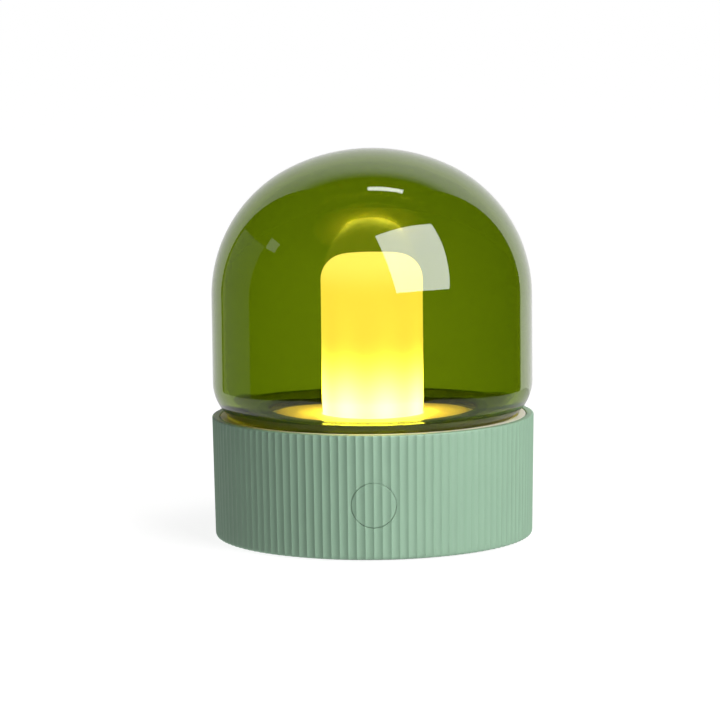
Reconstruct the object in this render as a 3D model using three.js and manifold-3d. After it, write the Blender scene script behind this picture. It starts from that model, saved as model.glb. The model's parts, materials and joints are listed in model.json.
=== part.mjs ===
// A rechargeable table lamp. A thick glass bell stands mouth down in the rim of a round,
// ribbed base, over a frosted candle-like diffuser. The base holds the cells, the charging
// board, the ring of LEDs under the diffuser, and a flush push button.
// Millimetres, +Z up. The origin is the middle of the face that the lamp stands on, and the
// button faces -Y.
import * as THREE from 'three';
import { mergeVertices } from 'three/addons/utils/BufferGeometryUtils.js';
import Module from 'manifold-3d';

const wasm = await Module();
wasm.setup();

// ---- Driving dimensions ----------------------------------------------------------------

// Clearances
const touchGap = 0.3;
const looseGap = 0.4;

// How far two solids that are joined into one run into each other
const joinOverlap = 0.2;

// Glass bell. Heights are above the rim, which is the top face of the base's sleeve.
const bellRadius = 69.6;
const bellRise = 115.5;
const bellWall = 5.5;
const crownFlattening = 10.4;
const shoulderInset = 7.6;
const footCornerRadius = 18.6;
const bellSink = 4.0;
const lipWidth = 5.4;
const seatClearance = 0.7;

// Ribbed sleeve
const baseOverhang = 0.4;
const sleeveHeight = 52.5;
const sleeveDraft = 0.8;
const bottomEdgeInset = 1.0;
const bottomEdgeHeight = 1.6;
const ribCount = 120;
const ribDepth = 0.4;
const fluteEdges = [0.3, 0.7];
const sleeveWall = 4.8;
const rimWall = 2.7;
const coverWall = 2.8;

// Seat, under and around the glass
const seatRingDrop = 0.2;
const deckThickness = 2.8;
const deckBelowLip = 2.0;
const bossGap = 2.0;
const bossStep = 0.4;
const gasketInset = 1.8;
const gasketWidth = 4.4;
const gasketGroove = 1.2;
const seatShell = 1.6;
const seatHollow = { step: 1.2, inset: 3, drop: 2.6, foot: 4.5 };

// Reflector and diffuser
const reflectorSink = 3.6;
const reflectorThickness = 1.8;
const diffuserRadius = 22.1;
const diffuserRise = 69.7;
const diffuserCorner = 11;
const diffuserWall = 2.6;
const flangeWidth = 3.4;
const flangeThickness = 2.0;

// LEDs and their carrier
const ledCount = 8;
const ledPhase = 15;
const ledLength = 3.5;
const ledWidth = 2.8;
const ledHeight = 0.8;
const boardThickness = 1.6;
const carrierThickness = 2.0;
const carrierSkirt = 15;
const carrierScrewInset = 5;
const carrierScrewCount = 3;
const leadHoleRadius = 4;

// Bottom cover and foot
const footProud = 0.8;
const coverRecess = 0.1;
const coverThickness = 2.5;
const footWidth = 4.2;
const footRimWidth = 1.1;
const footThickness = 1.5;
const coverBossHeight = 2.0;
const postRadius = 4.2;
const postInset = 8.8;
const postAngle = 22;

// Screws: head radius, head height, shank radius, shank length
const mainScrew = { head: 2.9, height: 1.8, shank: 1.5, length: 13 };
const carrierScrew = { head: 2.9, height: 1.8, shank: 1.5, length: 5.6 };
const boardScrew = { head: 2.2, height: 1.4, shank: 1.1, length: 4.2 };
const recessDepth = 0.9;

// Cells, in a cradle on the cover
const cellRadius = 9.2;
const cellLength = 64;
const cellNub = { radius: 3, length: 1 };
const cellSpacing = 20;
const cellCentreY = -20;
const cradleFloor = 1.6;
const cradleLength = 54;
const cradleRise = 3.4;
const stripThickness = 0.4;
const stripHeight = 7;

// Main board, at the back
const mainBoardWidth = 40;
const mainBoardDepth = 36;
const mainBoardLift = 4;
const boardPostRadius = 2.8;
const boardPostInset = 3.5;
const boardPostBack = 8;
const socketWidth = 8.9;
const socketHeight = 3.2;
const socketDepth = 7.3;
const socketWall = 0.3;
const slotClearance = 0.85;
const tongue = { width: 6.6, thickness: 0.7, front: 1.2, back: 6.3 };
const controllerChip = { side: 5, height: 0.9, edge: 0.2, x: 8 };
const inductorBlock = { side: 7, height: 4, edge: 1, x: -8 };
const batteryPlug = { width: 8, depth: 6, height: 5.5, x: 0, behind: 1 };
const ledPlug = { width: 6, depth: 5, height: 5, x: 10, behind: 7 };

// Push button, in front
const buttonRadius = 9.4;
const buttonDrop = 0.05;
const buttonFlange = 1.8;
const buttonFlangeThickness = 1.2;
const buttonStem = { radius: 2, length: 0.6 };
const frameWall = 1.4;
const switchSize = 6;
const switchDepth = 3.4;
const plungerRadius = 1.7;
const plungerLength = 2.7;
const plungerProud = 1.3;
const switchBoardSize = 15.6;
const frameBack = 1.5;

// Leads
const leadRadius = 0.7;

// Facets
const largeFacets = 40;
const mediumFacets = 28;
const smallFacets = 12;
const tinyFacets = 8;

// ---- Derived sizes ---------------------------------------------------------------------

const baseRadius = bellRadius + baseOverhang;
const rimHeight = footProud + sleeveHeight;
const sleeveBore = baseRadius - ribDepth - sleeveWall;
const rimBore = baseRadius - ribDepth - rimWall;
const coverBore = baseRadius - ribDepth - sleeveDraft - coverWall;

// The bell's lower corner is an arc about this point, and its lip ends at the opening.
const cornerCentreRadius = bellRadius - footCornerRadius;
const cornerCentreRise = footCornerRadius - bellSink;
const lipOpening = cornerCentreRadius - lipWidth;

// Heights in the rim's frame
const deckTop = -bellSink - deckBelowLip;
const deckUnder = deckTop - deckThickness;
const bossTop = -reflectorSink - reflectorThickness - touchGap;
const flangeFloor = bossTop - flangeThickness - touchGap;
const ledBoardTop = flangeFloor + boardThickness - touchGap;
const pedestalTop = ledBoardTop - boardThickness - touchGap;
const carrierTop = deckUnder - touchGap;

const bossRadius = lipOpening - bossGap;
const flangeRadius = diffuserRadius + flangeWidth;
const diffuserBore = diffuserRadius - diffuserWall;
const ledBoardRadius = diffuserBore - looseGap;
const ledRingRadius = ledBoardRadius - ledWidth / 2 - touchGap;
const deckHoleRadius = ledBoardRadius + 2;
const carrierRadius = ledBoardRadius + carrierSkirt;
const carrierScrewRadius = carrierRadius - carrierScrewInset;
const gasketInner = lipOpening + gasketInset;
const gasketOuter = gasketInner + gasketWidth;
const seatRadius = rimBore - looseGap;

// Heights above the ground
const coverUnder = footProud + coverRecess;
const coverTop = coverUnder + coverThickness;
const coverRadius = coverBore - looseGap;
const footOuter = coverRadius - footRimWidth;
const footInner = footOuter - footWidth;
const postCircle = sleeveBore - postInset;
const cellHeight = coverTop + touchGap + cradleFloor + cellRadius + touchGap;
const mainBoardUnder = coverTop + mainBoardLift;
const mainBoardTop = mainBoardUnder + boardThickness;
const mainBoardBack = Math.sqrt((sleeveBore - looseGap) ** 2 - (mainBoardWidth / 2) ** 2);
const mainBoardFront = mainBoardBack - mainBoardDepth;
const socketCentre = mainBoardTop + touchGap + socketHeight / 2;
const socketMouth = Math.sqrt(sleeveBore ** 2 - (socketWidth / 2) ** 2) - looseGap;
const buttonHeight = (coverTop + rimHeight + deckUnder) / 2 - buttonDrop;
const flangeBehind = buttonRadius + buttonFlange;
const buttonFlangeY = -(Math.sqrt(sleeveBore ** 2 - flangeBehind ** 2) - looseGap);
const frameBore = flangeBehind + looseGap;
const frameRadius = frameBore + frameWall;
const plungerFront = buttonFlangeY + buttonFlangeThickness + buttonStem.length + touchGap;
const switchFront = plungerFront + plungerProud;
const switchBoardFront = switchFront + switchDepth + touchGap;
const frameBackY = switchBoardFront + boardThickness + touchGap;
const frameRear = frameBackY + frameBack;

// ---- Solids ----------------------------------------------------------------------------

/** A closed solid of a three.js geometry, with its faces turned outwards. */
function solid(geometry) {
  const bare = geometry.clone();
  bare.deleteAttribute('normal');
  bare.deleteAttribute('uv');
  const merged = mergeVertices(bare, 1e-4);
  const corners = Array.from(merged.index.array);
  const triangles = [];
  for (let i = 0; i < corners.length; i += 3) {
    const [a, b, c] = corners.slice(i, i + 3);
    if (a !== b && b !== c && c !== a) triangles.push(a, b, c);
  }
  if (signedVolume(merged.attributes.position, triangles) < 0) triangles.reverse();
  return new wasm.Manifold(new wasm.Mesh({
    numProp: 3,
    vertProperties: new Float32Array(merged.attributes.position.array),
    triVerts: new Uint32Array(triangles),
  }));
}

/** Six times the volume inside the triangles: negative where they face inwards. */
function signedVolume(position, triangles) {
  const a = new THREE.Vector3();
  const b = new THREE.Vector3();
  const c = new THREE.Vector3();
  let total = 0;
  for (let i = 0; i < triangles.length; i += 3) {
    a.fromBufferAttribute(position, triangles[i]);
    b.fromBufferAttribute(position, triangles[i + 1]);
    c.fromBufferAttribute(position, triangles[i + 2]);
    total += a.dot(b.cross(c));
  }
  return total;
}

/** The geometry of a solid. */
function geometryOf(manifold) {
  const mesh = manifold.getMesh();
  const geometry = new THREE.BufferGeometry();
  geometry.setAttribute('position', new THREE.BufferAttribute(mesh.vertProperties, 3));
  geometry.setIndex(new THREE.BufferAttribute(mesh.triVerts, 1));
  geometry.computeVertexNormals();
  return geometry;
}

/** The solid of revolution about Z of a profile of [radius, height] points. */
function turned(profile, facets) {
  const points = profile.map(([radius, height]) => new THREE.Vector2(radius, height));
  const onAxis = profile[0][0] === 0;
  if (!onAxis) points.push(points[0].clone());
  return solid(new THREE.LatheGeometry(points, facets).rotateX(Math.PI / 2));
}

/** A ring about Z, or a disc where its inner radius is 0. */
function ring(inner, outer, bottom, top, facets) {
  if (inner === 0) return turned([[0, bottom], [outer, bottom], [outer, top], [0, top]], facets);
  return turned([[inner, bottom], [outer, bottom], [outer, top], [inner, top]], facets);
}

/** A cylinder about an upright axis at x, y. */
function pillar(x, y, radius, bottom, top, facets) {
  return ring(0, radius, bottom, top, facets).translate([x, y, 0]);
}

/** A cylinder along Y, about an axis at x = 0 and the given height. */
function rod(radius, front, back, height, facets) {
  return ring(0, radius, -back, -front, facets).rotate([90, 0, 0]).translate([0, 0, height]);
}

/** A box between two corners. */
function block(low, high) {
  const [x, y, z] = low.map((value, axis) => high[axis] - value);
  const middle = low.map((value, axis) => (value + high[axis]) / 2);
  return solid(new THREE.BoxGeometry(x, y, z).translate(...middle));
}

/** A block with its four upright edges rounded. */
function roundedBlock(low, high, radius) {
  const shape = roundedRectangle(high[0] - low[0], high[1] - low[1], radius);
  const depth = high[2] - low[2];
  const plain = new THREE.ExtrudeGeometry(shape, { depth, bevelEnabled: false, curveSegments: 3 });
  return solid(plain.translate((low[0] + high[0]) / 2, (low[1] + high[1]) / 2, low[2]));
}

/** A rectangle about the origin, with round corners. */
function roundedRectangle(width, height, radius) {
  const shape = new THREE.Shape();
  const x = width / 2 - radius;
  const y = height / 2 - radius;
  shape.absarc(x, y, radius, 0, Math.PI / 2);
  shape.absarc(-x, y, radius, Math.PI / 2, Math.PI);
  shape.absarc(-x, -y, radius, Math.PI, 1.5 * Math.PI);
  shape.absarc(x, -y, radius, 1.5 * Math.PI, 2 * Math.PI);
  return shape;
}

/** A round lead along a smooth curve through points. */
function lead(points) {
  const path = new THREE.CatmullRomCurve3(points.map((point) => new THREE.Vector3(...point)));
  const section = new THREE.Shape();
  for (let side = 0; side < 6; side += 1) {
    const angle = side * Math.PI / 3;
    const x = leadRadius * Math.cos(angle);
    const y = leadRadius * Math.sin(angle);
    if (side === 0) section.moveTo(x, y);
    else section.lineTo(x, y);
  }
  section.closePath();
  return solid(new THREE.ExtrudeGeometry(section, { steps: 14, bevelEnabled: false, extrudePath: path }));
}

/** Points on an arc about [radius, height], with angles in degrees from straight up. */
function arc(centre, radius, from, to, steps) {
  const points = [];
  for (let step = 0; step <= steps; step += 1) {
    const angle = THREE.MathUtils.degToRad(from + (to - from) * step / steps);
    points.push([centre[0] + radius * Math.sin(angle), centre[1] + radius * Math.cos(angle)]);
  }
  return points;
}

/** Places at equal angles on a circle, as [x, y, degrees]. */
function aroundCircle(count, radius, phase) {
  return Array.from({ length: count }, (unused, step) => {
    const degrees = phase + step * 360 / count;
    const angle = THREE.MathUtils.degToRad(degrees);
    return [radius * Math.cos(angle), radius * Math.sin(angle), degrees];
  });
}

/** A pan-head screw with its head's underside at height 0 and its shank upwards. */
function screw({ head, height, shank, length }) {
  const body = turned([
    [0, -height], [head * 0.8, -height], [head, -height * 0.6], [head, 0],
    [shank, 0], [shank, length - shank], [shank * 0.4, length], [0, length],
  ], tinyFacets);
  const arm = head * 0.62;
  const half = head * 0.16;
  const under = -height - 1;
  const floor = -height + recessDepth;
  return body
    .subtract(block([-arm, -half, under], [arm, half, floor]))
    .subtract(block([-half, -arm, under], [half, arm, floor]));
}

// ---- Glass bell ------------------------------------------------------------------------

/** One wall of the bell: crown, shoulder and lower corner arcs, offset inwards. */
function bellWallPoints(offset) {
  const crownRadius = bellRadius + crownFlattening;
  const shoulderRadius = bellRadius - shoulderInset;
  const crownCentre = bellRise - crownRadius;
  const apart = crownRadius - shoulderRadius;
  const shoulderCentre = crownCentre + Math.sqrt(apart ** 2 - shoulderInset ** 2);
  const join = THREE.MathUtils.radToDeg(Math.asin(shoulderInset / apart));
  const corner = [cornerCentreRadius, cornerCentreRise];
  return [
    ...arc([0, crownCentre], crownRadius - offset, 0, join, 2),
    ...arc([shoulderInset, shoulderCentre], shoulderRadius - offset, join, 90, 5).slice(1),
    ...arc(corner, footCornerRadius - offset, 90, 180, 4),
  ];
}

/** The bell: both walls, joined round the half-round edge of the lip. */
function glassBell() {
  const lipRadius = bellWall / 2;
  const lipEdge = arc([lipOpening + lipRadius, lipRadius - bellSink], lipRadius, 180, 360, 3);
  const inner = bellWallPoints(bellWall).reverse();
  return turned([...bellWallPoints(0), ...lipEdge, ...inner], largeFacets);
}

// ---- Ribbed sleeve and button ----------------------------------------------------------

/** The outline of the ribs: a ridge, then the two edges of a flute's floor, for each rib. */
function ribbedOutline() {
  const pitch = 2 * Math.PI / ribCount;
  const ribPoints = [[0, 0], ...fluteEdges.map((share) => [share, ribDepth])];
  const shape = new THREE.Shape();
  for (let rib = 0; rib < ribCount; rib += 1) {
    for (const [share, depth] of ribPoints) {
      const angle = (rib + share) * pitch;
      const radius = baseRadius - depth;
      const point = [radius * Math.cos(angle), radius * Math.sin(angle)];
      if (rib === 0 && share === 0) shape.moveTo(...point);
      else shape.lineTo(...point);
    }
  }
  shape.closePath();
  return shape;
}

/** The ribbed drum, drawn in a little towards the ground and more at its bottom edge. */
function ribbedDrum() {
  const geometry = new THREE.ExtrudeGeometry(ribbedOutline(), { depth: 2, steps: 2, bevelEnabled: false });
  const levels = [
    { height: footProud, inset: sleeveDraft + bottomEdgeInset },
    { height: footProud + bottomEdgeHeight, inset: sleeveDraft },
    { height: rimHeight, inset: 0 },
  ];
  const position = geometry.attributes.position;
  for (let i = 0; i < position.count; i += 1) {
    const { height, inset } = levels[Math.round(position.getZ(i))];
    const scale = 1 - inset / baseRadius;
    position.setXYZ(i, position.getX(i) * scale, position.getY(i) * scale, height);
  }
  return solid(geometry);
}

/** The sleeve: the drum, less its bores, the button's hole and the charging slot. */
function baseSleeve() {
  const ledge = rimHeight + deckUnder - touchGap;
  const coverSeat = coverTop + touchGap;
  const bores = turned([
    [0, -1], [coverBore, -1], [coverBore, coverSeat], [sleeveBore, coverSeat],
    [sleeveBore, ledge], [rimBore, ledge], [rimBore, rimHeight + 1], [0, rimHeight + 1],
  ], largeFacets);
  const hole = rod(buttonRadius + touchGap, -baseRadius - 1, -sleeveBore / 2, buttonHeight, mediumFacets);
  return ribbedDrum().subtract(bores).subtract(hole).subtract(chargingSlot());
}

/** The charging slot, through the back of the sleeve. */
function chargingSlot() {
  const height = socketHeight + 2 * slotClearance;
  const shape = roundedRectangle(socketWidth + 2 * slotClearance, height, height / 2 - 0.1);
  const through = new THREE.ExtrudeGeometry(shape, {
    depth: baseRadius, bevelEnabled: false, curveSegments: 4,
  });
  return solid(through.rotateX(-Math.PI / 2).translate(0, baseRadius / 2, socketCentre));
}

/** The button: a plug of the drum's own ribs, a flange behind the wall, and a stem. */
function buttonCap() {
  const plug = rod(buttonRadius, -baseRadius - 1, buttonFlangeY + joinOverlap, buttonHeight, mediumFacets);
  const flangeEnd = buttonFlangeY + buttonFlangeThickness;
  const flange = rod(flangeBehind, buttonFlangeY, flangeEnd, buttonHeight, mediumFacets);
  const stemEnd = flangeEnd + buttonStem.length;
  const stem = rod(buttonStem.radius, flangeEnd - joinOverlap, stemEnd, buttonHeight, tinyFacets);
  return ribbedDrum().intersect(plug).add(flange).add(stem);
}

/** The cup that guides the button and holds its switch board, on a leg from the cover. */
function buttonFrame() {
  const front = -(Math.sqrt(sleeveBore ** 2 - frameRadius ** 2) - looseGap);
  const legHalf = frameRadius / 2;
  const legBottom = coverTop + touchGap;
  const cup = rod(frameRadius, front, frameRear, buttonHeight, mediumFacets);
  const legFront = -(Math.sqrt(sleeveBore ** 2 - legHalf ** 2) - looseGap);
  const leg = block([-legHalf, legFront, legBottom], [legHalf, frameRear, buttonHeight]);
  const hollow = rod(frameBore, -baseRadius, frameBackY, buttonHeight, mediumFacets);
  const leadHole = rod(leadRadius * 4, frameBackY - 1, frameRear + 1, buttonHeight, tinyFacets);
  return cup.add(leg).subtract(hollow).subtract(leadHole);
}

/** The switch's body, with the pocket that its plunger slides in. */
function switchBody() {
  const half = switchSize / 2;
  const body = block(
    [-half, switchFront, buttonHeight - half],
    [half, switchFront + switchDepth, buttonHeight + half],
  );
  const pocketEnd = plungerFront + plungerLength + 1.2;
  return body.subtract(rod(plungerRadius + looseGap, switchFront - 1, pocketEnd, buttonHeight, tinyFacets));
}

// ---- Seat, reflector, diffuser and LEDs, in the rim's frame ------------------------------

/** The seat: an off-white ring inside the rim, a cradle under the glass, a deck and its posts. */
function seatDeck() {
  const cradleRadius = footCornerRadius + seatClearance;
  const ringTop = -seatRingDrop;
  const startAngle = Math.asin((gasketOuter + looseGap - cornerCentreRadius) / cradleRadius);
  const endAngle = Math.acos((cornerCentreRise - ringTop) / cradleRadius);
  const cradle = arc(
    [cornerCentreRadius, cornerCentreRise], cradleRadius,
    180 - THREE.MathUtils.radToDeg(startAngle), 180 - THREE.MathUtils.radToDeg(endAngle), 4,
  );
  const [ringInner] = cradle[cradle.length - 1];
  const grooveFloor = deckTop - gasketGroove;
  const coreOuter = seatRadius - seatShell - looseGap;
  const shellUnder = ringTop - seatShell;
  const body = turned([
    [deckHoleRadius, deckUnder], [deckHoleRadius, flangeFloor],
    [flangeRadius + looseGap, flangeFloor], [flangeRadius + looseGap, bossTop],
    [bossRadius, bossTop], [bossRadius, deckTop],
    [gasketInner - looseGap, deckTop], [gasketInner - looseGap, grooveFloor],
    [gasketOuter + looseGap, grooveFloor], ...cradle,
    [seatRadius - 0.3, ringTop], [seatRadius, ringTop - 0.3], [seatRadius, deckUnder],
    [coreOuter, deckUnder], [coreOuter, shellUnder - seatHollow.step],
    [ringInner - seatHollow.inset, shellUnder - seatHollow.drop],
    [cornerCentreRadius + seatHollow.foot, deckUnder],
  ], largeFacets);
  const postBottom = coverTop + coverBossHeight + touchGap - rimHeight;
  const postTop = deckTop + joinOverlap;
  const holeTop = postBottom + mainScrew.length;
  let deck = body;
  for (const [x, y] of postPlaces()) {
    deck = deck.add(pillar(x, y, postRadius, postBottom, postTop, smallFacets));
    deck = deck.subtract(pillar(x, y, mainScrew.shank + touchGap, postBottom - 1, holeTop, tinyFacets));
  }
  for (const [x, y] of carrierScrewPlaces()) {
    const top = carrierTop - carrierThickness + carrierScrew.length;
    deck = deck.subtract(pillar(x, y, carrierScrew.shank + touchGap, deckUnder - 1, top, tinyFacets));
  }
  return deck;
}

/** The four posts, two on each side of the cells. */
function postPlaces() {
  const angle = THREE.MathUtils.degToRad(postAngle);
  const x = postCircle * Math.cos(angle);
  const y = postCircle * Math.sin(angle);
  return [[x, y], [-x, y], [-x, -y], [x, -y]];
}

/** The carrier's screws, under the reflector. */
function carrierScrewPlaces() {
  return aroundCircle(carrierScrewCount, carrierScrewRadius, 90);
}

/** The soft ring that the lip of the bell stands on. */
function bellGasket() {
  const floor = deckTop - gasketGroove + touchGap;
  return ring(gasketInner, gasketOuter, floor, -bellSink - touchGap, largeFacets);
}

/** The disc around the foot of the diffuser. */
function reflectorDisc() {
  const outer = bossRadius - bossStep;
  const inner = diffuserRadius + looseGap;
  const top = -reflectorSink;
  const under = top - reflectorThickness;
  return turned([
    [inner, under], [outer, under], [outer, top - 0.5],
    [outer - 0.5, top], [inner + 0.3, top], [inner, top - 0.3],
  ], largeFacets);
}

/** The diffuser: a hollow candle with a rounded top and a flange under the reflector. */
function lightDiffuser() {
  const foot = flangeFloor + touchGap;
  const cornerRise = diffuserRise - diffuserCorner;
  const outerArc = arc([diffuserRadius - diffuserCorner, cornerRise], diffuserCorner, 90, 0, 4);
  const innerCorner = diffuserCorner - diffuserWall;
  const innerArc = arc([diffuserBore - innerCorner, cornerRise], innerCorner, 0, 90, 4);
  return turned([
    [0, diffuserRise - diffuserWall], ...innerArc, [diffuserBore, foot],
    [flangeRadius, foot], [flangeRadius, foot + flangeThickness - touchGap],
    [diffuserRadius, foot + flangeThickness - touchGap], ...outerArc, [0, diffuserRise],
  ], mediumFacets);
}

/** The plate that carries the LED board on a pedestal, with a hole for its leads. */
function ledCarrier() {
  const bottom = carrierTop - carrierThickness;
  let carrier = turned([
    [leadHoleRadius, bottom], [carrierRadius, bottom], [carrierRadius, carrierTop],
    [ledBoardRadius, carrierTop], [ledBoardRadius, pedestalTop], [leadHoleRadius, pedestalTop],
  ], mediumFacets);
  for (const [x, y] of carrierScrewPlaces()) {
    const hole = pillar(x, y, carrierScrew.shank + touchGap, bottom - 1, carrierTop + 1, tinyFacets);
    carrier = carrier.subtract(hole);
  }
  return carrier;
}

// ---- Cover, foot, cells and main board, above the ground ---------------------------------

/** The bottom cover: foot groove, screw bosses with sunk heads, and the board's posts. */
function bottomCover() {
  let cover = ring(0, coverRadius, coverUnder, coverTop, largeFacets);
  const groove = footThickness + touchGap;
  cover = cover.subtract(ring(footInner - touchGap, footOuter + touchGap, 0, groove, largeFacets));
  const sunk = coverUnder + touchGap + mainScrew.height + touchGap;
  for (const [x, y] of postPlaces()) {
    cover = cover.add(pillar(x, y, postRadius, coverTop - 0.5, coverTop + coverBossHeight, smallFacets));
    cover = cover.subtract(pillar(x, y, mainScrew.head + looseGap, 0, sunk, smallFacets));
    cover = cover.subtract(pillar(x, y, mainScrew.shank + touchGap, 0, rimHeight, tinyFacets));
  }
  for (const [x, y] of boardPostPlaces()) {
    cover = cover.add(pillar(x, y, boardPostRadius, coverTop - 0.5, mainBoardUnder - touchGap, smallFacets));
    const hole = pillar(x, y, boardScrew.shank + touchGap, coverUnder + 1, mainBoardUnder, tinyFacets);
    cover = cover.subtract(hole);
  }
  return cover;
}

/** The main board's four posts. */
function boardPostPlaces() {
  const x = mainBoardWidth / 2 - boardPostInset;
  const front = mainBoardFront + boardPostInset;
  const back = mainBoardBack - boardPostBack;
  return [[x, front], [-x, front], [-x, back], [x, back]];
}

/** The main board, with its screw holes. */
function mainBoard() {
  const half = mainBoardWidth / 2;
  let board = roundedBlock([-half, mainBoardFront, mainBoardUnder], [half, mainBoardBack, mainBoardTop], 1);
  for (const [x, y] of boardPostPlaces()) {
    const hole = pillar(x, y, boardScrew.shank + touchGap, mainBoardUnder - 1, mainBoardTop + 1, tinyFacets);
    board = board.subtract(hole);
  }
  return board;
}

/** The tray under the cells, with a trough for each. */
function batteryCradle() {
  const halfWidth = cellSpacing / 2 + cellRadius + 1.5;
  const bottom = coverTop + touchGap;
  let tray = block(
    [-cradleLength / 2, cellCentreY - halfWidth, bottom],
    [cradleLength / 2, cellCentreY + halfWidth, cellHeight - cellRadius + cradleRise],
  );
  for (const y of cellRows()) {
    const trough = ring(0, cellRadius + touchGap, -cradleLength, cradleLength, smallFacets);
    tray = tray.subtract(trough.rotate([0, 90, 0]).translate([0, y, cellHeight]));
  }
  return tray;
}

/** The Y of each cell. */
function cellRows() {
  return [cellCentreY - cellSpacing / 2, cellCentreY + cellSpacing / 2];
}

/** A cell along X about the origin, with its nub at +X. */
function batteryCell() {
  const half = cellLength / 2;
  const edge = 0.5;
  return turned([
    [0, -half], [cellRadius - edge, -half], [cellRadius, edge - half], [cellRadius, half - edge],
    [cellRadius - edge, half], [cellNub.radius, half], [cellNub.radius, half + cellNub.length],
    [0, half + cellNub.length],
  ], smallFacets).rotate([0, 90, 0]);
}

/** A strip that joins the two cells' ends, its near face at x. */
function cellStrip(x) {
  const [front, back] = cellRows();
  const far = x + Math.sign(x) * stripThickness;
  const reach = cellNub.radius + 1;
  return block(
    [Math.min(x, far), front - reach, cellHeight - stripHeight / 2],
    [Math.max(x, far), back + reach, cellHeight + stripHeight / 2],
  );
}

/** The charging socket's shell, open towards +Y, with its mouth at y = 0. */
function chargingSocket() {
  const boreWidth = socketWidth - 2 * socketWall;
  const boreHeight = socketHeight - 2 * socketWall;
  const outer = roundedRectangle(socketWidth, socketHeight, socketHeight / 2 - 0.1);
  const bore = roundedRectangle(boreWidth, boreHeight, boreHeight / 2 - 0.1);
  const settings = { depth: socketDepth, bevelEnabled: false, curveSegments: 2 };
  const shell = new THREE.ExtrudeGeometry(outer, settings);
  const hollow = new THREE.ExtrudeGeometry(bore, settings);
  const back = socketWall * 2;
  return solid(shell.rotateX(-Math.PI / 2).translate(0, -socketDepth, 0))
    .subtract(solid(hollow.rotateX(-Math.PI / 2).translate(0, back - socketDepth, 0)));
}

// ---- The lamp --------------------------------------------------------------------------

const finishes = {
  glass: { color: 0x5c6b10, roughness: 0.05, metalness: 0, transparent: true, opacity: 0.55 },
  sage: { color: 0x86a690, roughness: 0.55, metalness: 0 },
  offWhite: { color: 0xcfc9bb, roughness: 0.5, metalness: 0 },
  opal: { color: 0xfff3cf, roughness: 0.45, metalness: 0, emissive: 0xffd24a },
  gold: { color: 0xe3c56a, roughness: 0.35, metalness: 0.6 },
  rubber: { color: 0x35373a, roughness: 0.9, metalness: 0 },
  silicone: { color: 0xd9d6cc, roughness: 0.7, metalness: 0 },
  aluminium: { color: 0xb9bcc0, roughness: 0.4, metalness: 1 },
  steel: { color: 0x9a9da1, roughness: 0.35, metalness: 1 },
  board: { color: 0x1f5b3a, roughness: 0.5, metalness: 0 },
  whiteBoard: { color: 0xf0f0ea, roughness: 0.4, metalness: 0 },
  led: { color: 0xf7d774, roughness: 0.3, metalness: 0, emissive: 0xffc84a },
  darkPlastic: { color: 0x2b2d2f, roughness: 0.6, metalness: 0 },
  cellWrap: { color: 0x3d6fa8, roughness: 0.4, metalness: 0 },
  red: { color: 0xb3271e, roughness: 0.5, metalness: 0 },
  black: { color: 0x1b1b1c, roughness: 0.5, metalness: 0 },
  natural: { color: 0xe6e1d2, roughness: 0.5, metalness: 0 },
};

/** Adds a piece to a group, at a place in that group's frame. */
function add(group, name, manifold, finish, [x, y, z] = [0, 0, 0], turn = 0) {
  const mesh = new THREE.Mesh(geometryOf(manifold), new THREE.MeshStandardMaterial(finishes[finish]));
  mesh.name = name;
  mesh.position.set(x, y, z);
  mesh.rotation.z = THREE.MathUtils.degToRad(turn);
  group.add(mesh);
}

/** The glass, its seat, the reflector, the diffuser and the LEDs, about the rim. */
function rimGroup() {
  const group = new THREE.Group();
  group.position.z = rimHeight;
  add(group, 'glass_bell', glassBell(), 'glass');
  add(group, 'bell_gasket', bellGasket(), 'silicone');
  add(group, 'seat_deck', seatDeck(), 'offWhite');
  add(group, 'reflector_disc', reflectorDisc(), 'gold');
  add(group, 'light_diffuser', lightDiffuser(), 'opal');
  add(group, 'led_carrier', ledCarrier(), 'aluminium');
  const ledBoard = ring(0, ledBoardRadius, ledBoardTop - boardThickness, ledBoardTop, mediumFacets);
  add(group, 'led_board', ledBoard, 'whiteBoard');
  const led = block([-ledWidth / 2, -ledLength / 2, 0], [ledWidth / 2, ledLength / 2, ledHeight]);
  const ledBottom = ledBoardTop + touchGap;
  aroundCircle(ledCount, ledRingRadius, ledPhase).forEach(([x, y, turn], index) => {
    add(group, `led_${index + 1}`, led, 'led', [x, y, ledBottom], turn);
  });
  const screwSeat = carrierTop - carrierThickness - touchGap;
  carrierScrewPlaces().forEach(([x, y], index) => {
    add(group, `carrier_screw_${index + 1}`, screw(carrierScrew), 'steel', [x, y, screwSeat]);
  });
  return group;
}

/** The sleeve, the cover, the foot and their screws. */
function housingGroup() {
  const group = new THREE.Group();
  add(group, 'base_sleeve', baseSleeve(), 'sage');
  add(group, 'bottom_cover', bottomCover(), 'darkPlastic');
  add(group, 'foot_ring', ring(footInner, footOuter, 0, footThickness, largeFacets), 'rubber');
  const headSeat = coverUnder + touchGap + mainScrew.height;
  postPlaces().forEach(([x, y], index) => {
    add(group, `cover_screw_${index + 1}`, screw(mainScrew), 'steel', [x, y, headSeat]);
  });
  return group;
}

/** The cells, their cradle and the strips that join them. */
function batteryGroup() {
  const group = new THREE.Group();
  add(group, 'battery_cradle', batteryCradle(), 'darkPlastic');
  cellRows().forEach((y, index) => {
    add(group, `battery_cell_${index + 1}`, batteryCell(), 'cellWrap', [0, y, cellHeight]);
  });
  const half = cellLength / 2 + touchGap;
  add(group, 'cell_strip_positive', cellStrip(half + cellNub.length), 'steel');
  add(group, 'cell_strip_negative', cellStrip(-half), 'steel');
  return group;
}

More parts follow.
